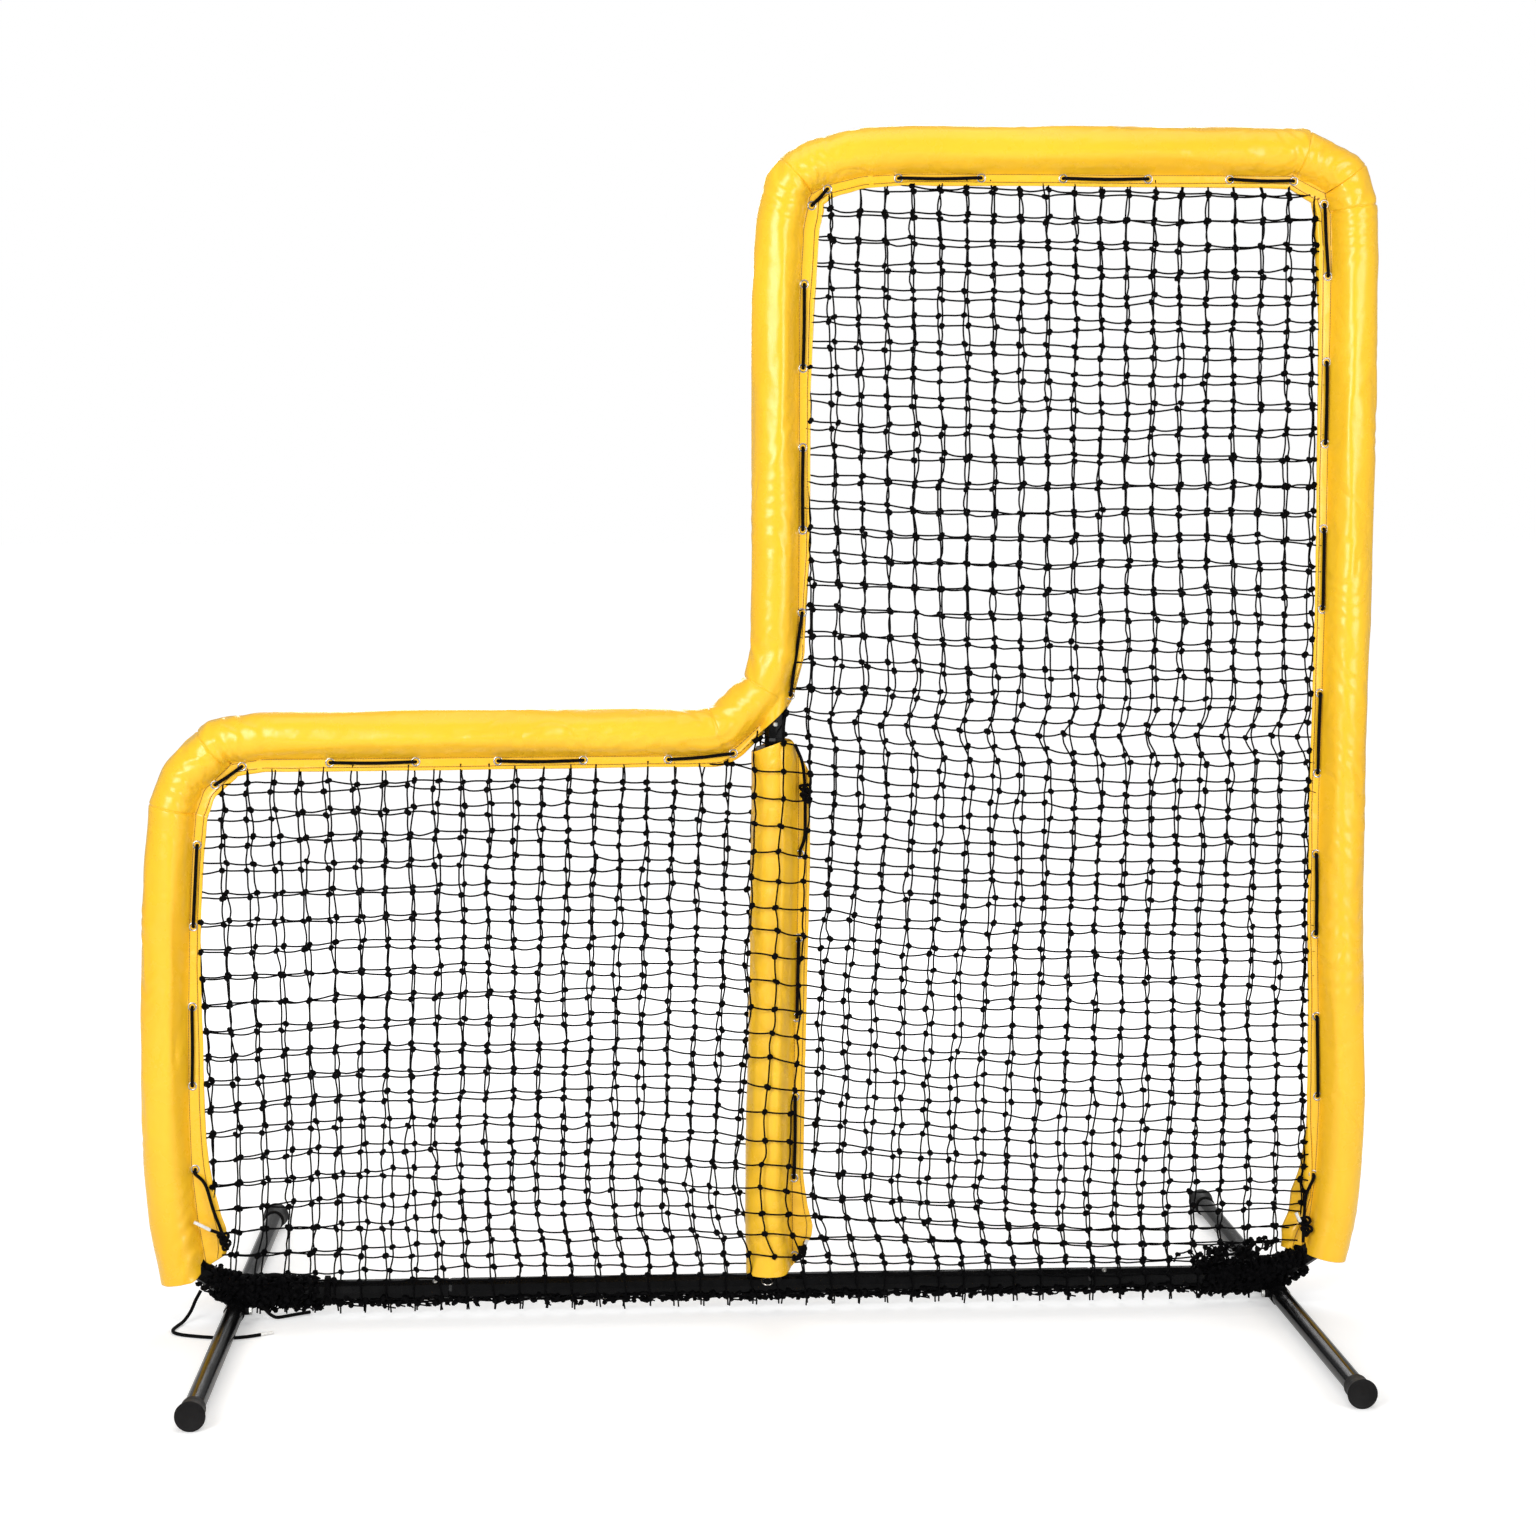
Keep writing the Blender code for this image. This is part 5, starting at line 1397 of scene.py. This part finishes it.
def crumple(twine, picker, middle_line, reach, count, pieces):
    """Bunched slack: short strands that wind about a line at changing distances, with knots."""
    middle_line = np.asarray(middle_line, float)
    total = len(middle_line) - 1
    low, high = reach
    for _ in range(count):
        start = picker.uniform(0, total * 0.75)
        end = min(total, start + picker.uniform(0.2, 0.5) * total)
        spots = np.linspace(start, end, pieces)
        marks = np.arange(total + 1)
        middle = np.stack([np.interp(spots, marks, middle_line[:, axis]) for axis in range(3)], 1)
        turn = picker.uniform(0, 2 * math.pi) + np.cumsum(picker.normal(0.35, 0.55, pieces))
        gap = low + (high - low) * picker.random(pieces)
        out = unit(np.cross(unit(np.gradient(middle, axis=0)), (0, 1, 0)))
        around = out * np.cos(turn)[:, None] + np.array([[0, 1, 0]]) * np.sin(turn)[:, None]
        wound = middle + around * gap[:, None]
        wound[:, 2] = np.maximum(wound[:, 2], floor_gap)
        twine.strand(catmull(wound, 3), twine_radius, (0.31, 0.52, 0.8))
        for spot in wound[1:-1:2]:
            any_knot(twine, picker, spot, 0.8, 1.1, (1.1, 0.85, 0.9))


def corner_line(side, start_angle, end_x):
    """The bottom corner tube's axis from part way round its bend to a place on the rail."""
    bend_x = right_x - bend_radius
    line = []
    for angle in np.linspace(start_angle, 0, 12):
        x = bend_x + bend_radius * math.sin(angle)
        line.append((side * x, 0.0, rail_z + bend_radius - bend_radius * math.cos(angle)))
    return line + [(side * x, 0.0, rail_z) for x in np.linspace(bend_x, end_x, 12)[1:]]


def build_net(run, notch, finishes):
    """Both faces of the bag, its bunched edge and corners, and the turns that bind it."""
    along = np.linspace(0, run.along[-1], 900)
    shifts = np.interp(along, run.hem_marks, run.hem_front)
    reaches = [hem_reach + shift - net_tuck - hem_notch(spot, notch) for spot, shift in zip(along, shifts)]
    edge = np.array([run.at(spot, reach) for spot, reach in zip(along, reaches)])
    bays = ("net_left_bay", "net_right_bay")
    for name, front in (("front", True), ("rear", False)):
        twine = Twine()
        build_net_face(front, edge, twine)
        twine.piece("net_" + name + "_face", finishes["twine"], nodes=bays)
    build_rail_wrap(bays, finishes)
    for side, name in ((-1, "left"), (1, "right")):
        build_gather(side, name, finishes)
    build_tie(finishes)


def build_rail_wrap(bays, finishes):
    """The net's lower edge, bunched along the rail, with cut ends hanging from it."""
    picker = np.random.default_rng(7)
    twine = Twine()
    below = rail_z - tube_radius
    spots = np.arange(-0.88, 0.885, 0.0115)
    strands = [(-0.0105, 0.0), (-0.003, -0.0022), (0.0055, -0.001), (0.012, 0.002), (-0.0165, 0.0075)]
    for depth, drop in strands:
        y = depth + picker.normal(0, 0.0019, len(spots))
        z = below - 0.0012 + drop + picker.normal(0, 0.0018, len(spots))
        x = spots + picker.normal(0, 0.0022, len(spots))
        twine.strand(catmull(np.stack([x, y, z], 1), 3), twine_radius, (0, 0.6, 0.8))
        for index in range(picker.integers(0, 3), len(spots), 3):
            any_knot(twine, picker, (x[index], y[index], z[index]), 0.8, 1.15, (1.15, 0.85, 0.9))
    for x in np.arange(-0.86, 0.87, 0.0175):
        if picker.random() < 0.25:
            continue
        length = picker.uniform(0.004, 0.0125)
        drift = picker.normal(0.003, 0.011)
        top = np.array([x + picker.normal(0, 0.003), picker.normal(-0.004, 0.004), below - 0.002])
        bend = top + (drift * 0.2, 0, -length * 0.6)
        tip = top + (drift + 0.004, picker.normal(0, 0.002), -length)
        twine.strand(catmull([top, bend, tip], 4), twine_radius * 0.95, (0.3, 0.9, 0.1))
        any_knot(twine, picker, bend, 0.7, 1.0)
    twine.piece("net_rail_wrap", finishes["twine"], nodes=bays)


def build_gather(side, name, finishes):
    """Bunched net round a bottom corner, with loops hanging under the rail."""
    picker = np.random.default_rng(31 + side)
    twine = Twine()
    line = corner_line(side, 0.72, 0.79)
    crumple(twine, picker, line, (tube_radius + 0.0022, tube_radius + 0.0085), 90, 11)
    lump = [(0.995, -0.004, 0.094), (0.965, -0.012, 0.078), (0.925, -0.016, 0.066), (0.88, -0.014, 0.060)]
    crumple(twine, picker, catmull([(side * x, y, z) for x, y, z in lump], 4), (0.002, 0.017), 34, 9)
    if side > 0:
        slack = [(0.735, -0.036, 0.076), (0.8, -0.038, 0.092), (0.86, -0.034, 0.098), (0.925, -0.026, 0.104)]
        crumple(twine, picker, catmull(slack, 4), (0.001, 0.020), 15, 9)
    for _ in range(10):
        x = side * picker.uniform(0.80, 0.90)
        top = np.array([x, picker.normal(-0.010, 0.006), rail_z - tube_radius])
        loop = [
            top,
            top + (side * -0.006, -0.003, -picker.uniform(0.004, 0.009)),
            top + (side * -0.016, 0.0, -picker.uniform(0.008, 0.014)),
            top + (side * -0.027, 0.002, -picker.uniform(0.001, 0.006)),
        ]
        twine.strand(catmull(loop, 5), twine_radius, (0.1, 0.9, 0.3))
        any_knot(twine, picker, loop[2], 0.7, 1.0)
    twine.piece("net_bunch_" + name, finishes["twine"], nodes=("net_gather_" + name,))


def build_tie(finishes):
    """Turns of twine that bind the net to the rail."""
    twine = Twine()
    low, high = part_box("net_tie")
    middle_x = low.lerp(high, 0.5).x
    steps = 4 * 24
    reach = tube_radius + 0.0062
    points = []
    for index in range(steps + 1):
        angle = 2 * math.pi * index / 24
        across = middle_x + (index / steps - 0.5) * 0.0095
        points.append((across, reach * math.cos(angle), rail_z + reach * math.sin(angle)))
    twine.strand(points, 0.0017, (1.0, 0.0, 0.0), 7)
    twine.knot((middle_x, -reach - 0.002, rail_z + 0.004), (0.0055, 0.004, 0.005), 0.6)
    for way in (-1, 1):
        end = [
            (middle_x, -reach - 0.003, rail_z + 0.003),
            (middle_x + way * 0.006, -reach - 0.005, rail_z - 0.004),
            (middle_x + way * 0.010, -reach - 0.0045, rail_z - 0.014),
        ]
        twine.strand(catmull(end, 4), twine_radius, (0.1, 0.9, 0.3), 7)
    twine.piece("net_binding", finishes["twine"], nodes=("net_tie",))


# Legs


def near_and_far(first, second):
    """The two distances from the middle plane, the smaller one first."""
    return sorted((abs(first), abs(second)))


def build_legs(finishes):
    """Smooth tubes with moulded caps, and hexagonal set bolts, in place of the plainer solids."""
    low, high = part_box("leg_front_left")
    leg_radius = (high.x - low.x) / 2 / math.cos(math.pi / 20)
    bore, mouth = leg_radius - leg_wall, leg_radius + cap_clearance
    for name in leg_names:
        low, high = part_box("leg_" + name)
        cap_low, cap_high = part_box("end_cap_" + name)
        inner, outer = near_and_far(low.y, high.y)
        start, face = near_and_far(cap_low.y, cap_high.y)
        tube = [
            (bore, inner), (leg_radius - leg_edge, inner), (leg_radius, inner + leg_edge),
            (leg_radius, outer), (bore, outer), (bore, inner),
        ]
        socket = [(0.0, outer + leg_edge), (mouth, outer + leg_edge), (mouth, start)]
        collar = [(0.0022, 0.0), (0.0031, 0.0009), (0.0034, 0.0180), (0.0040, 0.0215)]
        rim = [
            (0.0016, 0.0085), (0.0004, 0.0052), (0.0, 0.0032), (0.0003, 0.0012),
            (0.0014, 0.0001), (0.0040, 0.0), (0.0050, 0.0007), (0.0056, 0.0010),
        ]
        cap = socket + [(mouth + rise, start + past) for rise, past in collar]
        cap += [(leg_axis_z - inwards, face - back) for inwards, back in rim]
        cap += [(0.0040, face - 0.0009), (0.0032, face - 0.0013), (0.0, face - 0.0013)]
        origin = ((low.x + high.x) / 2, 0, leg_axis_z)
        axis = (0, -1 if name.startswith("front") else 1, 0)
        leg = turned_piece("leg_tube_" + name, tube, origin, axis, finishes["paint"], 56)
        attach(leg, "leg_" + name, ("leg_" + name,))
        cover = turned_piece("leg_cap_" + name, cap, origin, axis, finishes["rubber"], 72)
        attach(cover, "leg_" + name, ("end_cap_" + name,))
        build_bolt(name, finishes)


def build_bolt(name, finishes):
    """A hexagonal head with a rounded crown and a washer face, on a threaded shank."""
    low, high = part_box("set_bolt_" + name)
    side = 1 if low.x > 0 else -1
    head_end, shank_end = near_and_far(low.x, high.x)
    middle_y, middle_z = (low.y + high.y) / 2, (low.z + high.z) / 2
    flats = (high.z - low.z) / 2
    sides, threads = 48, 30
    turns = 2 * math.pi * np.arange(sides) / sides
    hexagon = flats / np.cos((turns + math.pi / 6) % (math.pi / 3) - math.pi / 6)
    crown = np.minimum(hexagon * 0.93, flats * 1.06)
    plain = np.ones(sides)
    rows = [
        (0.0, plain * 0.0), (0.0, plain * 0.80 * flats), (0.0003, crown),
        (0.0011, hexagon), (bolt_head - 0.0004, hexagon), (bolt_head, crown),
    ]
    for step in range(threads):
        along = bolt_head + step / (threads - 1) * (shank_end - head_end - bolt_head)
        rows.append((along, plain * (bolt_radius + thread_height * (1 if step % 2 else -1))))
    corners = []
    for along, reaches in rows:
        for turn, reach in zip(turns, reaches):
            y, z = middle_y + reach * math.sin(turn), middle_z + reach * math.cos(turn)
            corners.append((side * (head_end + along), y, z))
    faces = ring_faces(len(rows), sides)
    faces.append(tuple((len(rows) - 1) * sides + index for index in range(sides)))
    bolt = mesh_piece("bolt_" + name, corners, faces, finishes["zinc"])
    weld(bolt, 28)
    attach(bolt, "set_bolt_" + name, ("set_bolt_" + name,))


# Stage


def camera_switch(tree, unseen, seen):
    """One shader for what the camera sees directly, and another for all other rays."""
    path = new_node(tree, "LightPath")
    pick = new_node(tree, "MixShader")
    tree.links.new(path.outputs["Is Camera Ray"], pick.inputs["Fac"])
    tree.links.new(unseen, pick.inputs[1])
    tree.links.new(seen, pick.inputs[2])
    return pick.outputs["Shader"]


def far_glow(tree, strengths, reaches):
    """A strength that grows with the distance from the object's middle."""
    place = new_node(tree, "TexCoord")
    distance = new_node(tree, "VectorMath")
    distance.operation = "LENGTH"
    tree.links.new(place.outputs["Object"], distance.inputs[0])
    near, far = reaches
    low, high = strengths
    ramp = new_node(tree, "MapRange", From_Min=near, From_Max=far, To_Min=low, To_Max=high)
    ramp.interpolation_type = "SMOOTHSTEP"
    tree.links.new(distance.outputs["Value"], ramp.inputs["Value"])
    return ramp.outputs["Result"]


def build_floor():
    """A plain pale floor; where the camera sees it, a glow lets it run into the white background."""
    material = bpy.data.materials.new("floor")
    material.use_nodes = True
    tree = material.node_tree
    shader = tree.nodes["Principled BSDF"]
    shader.inputs["Base Color"].default_value = (0.86, 0.86, 0.86, 1.0)
    shader.inputs["Roughness"].default_value = 0.8
    glow = new_node(tree, "Emission")
    tree.links.new(far_glow(tree, (0.32, 0.68), (1.6, 6.0)), glow.inputs["Strength"])
    dark = new_node(tree, "Emission", Strength=0.0)
    add = new_node(tree, "AddShader")
    tree.links.new(shader.outputs["BSDF"], add.inputs[0])
    tree.links.new(camera_switch(tree, dark.outputs["Emission"], glow.outputs["Emission"]), add.inputs[1])
    tree.links.new(add.outputs["Shader"], tree.nodes["Material Output"].inputs["Surface"])
    half = 60.0
    points = [(-half, -half, 0), (half, -half, 0), (half, half, 0), (-half, half, 0)]
    mesh_piece("floor", points, [(0, 1, 2, 3)], material)


def build_world():
    """White to the camera and softer as a light."""
    world = bpy.data.worlds.new("world")
    bpy.context.scene.world = world
    world.use_nodes = True
    tree = world.node_tree
    tree.nodes.clear()
    output = new_node(tree, "OutputWorld")
    soft, white = (new_node(tree, "Background", Color=(1, 1, 1, 1), Strength=power) for power in (0.42, 1.0))
    both = camera_switch(tree, soft.outputs["Background"], white.outputs["Background"])
    tree.links.new(both, output.inputs["Surface"])


def add_lamp(name, place, target_z, size, power):
    """An area lamp that faces a height over the middle of the floor."""
    data = bpy.data.lights.new(name, "AREA")
    data.shape = "RECTANGLE"
    data.size, data.size_y = size
    data.energy = power
    lamp = bpy.data.objects.new(name, data)
    lamp.location = place
    lamp.rotation_euler = (Vector((0, 0, target_z)) - Vector(place)).to_track_quat("-Z", "Y").to_euler()
    bpy.context.scene.collection.objects.link(lamp)


def build_stage():
    build_floor()
    build_world()
    add_lamp("key", (-2.6, -4.4, 2.5), 0.9, (2.2, 2.6), 160)
    add_lamp("fill", (3.2, -4.2, 1.9), 0.8, (2.2, 2.6), 95)
    add_lamp("top", (0.0, -0.6, 4.6), 0.8, (3.5, 2.5), 34)
    add_lamp("back", (0.4, 4.2, 2.8), 1.0, (3.5, 2.0), 105)


def build_padding(spans, notch, finishes):
    """The sleeves with their foam, settled as cloth, and their stitches."""
    main_run = spans["left"][0]
    seams = [main_run.nearest(place, -sleeve_radius) for place in panel_seams]
    free_ends = {"left": [True], "right": [False], "centre_column": [True, False]}
    covers = []
    for name, (run, start, end) in spans.items():
        own_seams, own_notch = (seams, notch) if run is main_run else ([], None)
        free = free_ends.get(name, [])
        covers.append(build_cover(name, run, start, end, own_seams, own_notch, free, finishes))
        build_foam(name, run, start, end, finishes)
    settle_covers(covers)
    finish_covers(covers)
    build_stitches(spans, finishes)


def main():
    bpy.context.scene.view_settings.view_transform = "Standard"
    add_camera()
    finishes = {
        "vinyl": vinyl_finish(),
        "thread": thread_finish(),
        "foam": foam_finish(),
        "paint": paint_finish(),
        "rubber": rubber_finish(),
        "zinc": zinc_finish(),
        "nickel": nickel_finish(),
        "cord": cord_finish(),
        "twine": twine_finish(),
        "tip": tip_finish(),
    }
    build_loose_laces(finishes)
    dress_cad_nodes(finishes)
    spans = cover_runs()
    main_run, column_run = spans["left"][0], spans["centre_column"][0]
    notch = (main_run.nearest((-0.080, 1.088)) + main_run.nearest((column_x, 1.165))) / 2
    build_padding(spans, notch, finishes)
    before, after, column = eyelet_places()
    before, after = ([seat_eyelet(main_run, place) for place in places] for places in (before, after))
    column = [seat_eyelet(column_run, place) for place in column]
    build_eyelets(before + after + column, finishes)
    build_foot_grommet(finishes)
    build_lacing(before, after, column, finishes)
    build_knots(finishes)
    build_lace_tips(finishes)
    build_legs(finishes)
    build_net(main_run, notch, finishes)
    build_stage()


main()
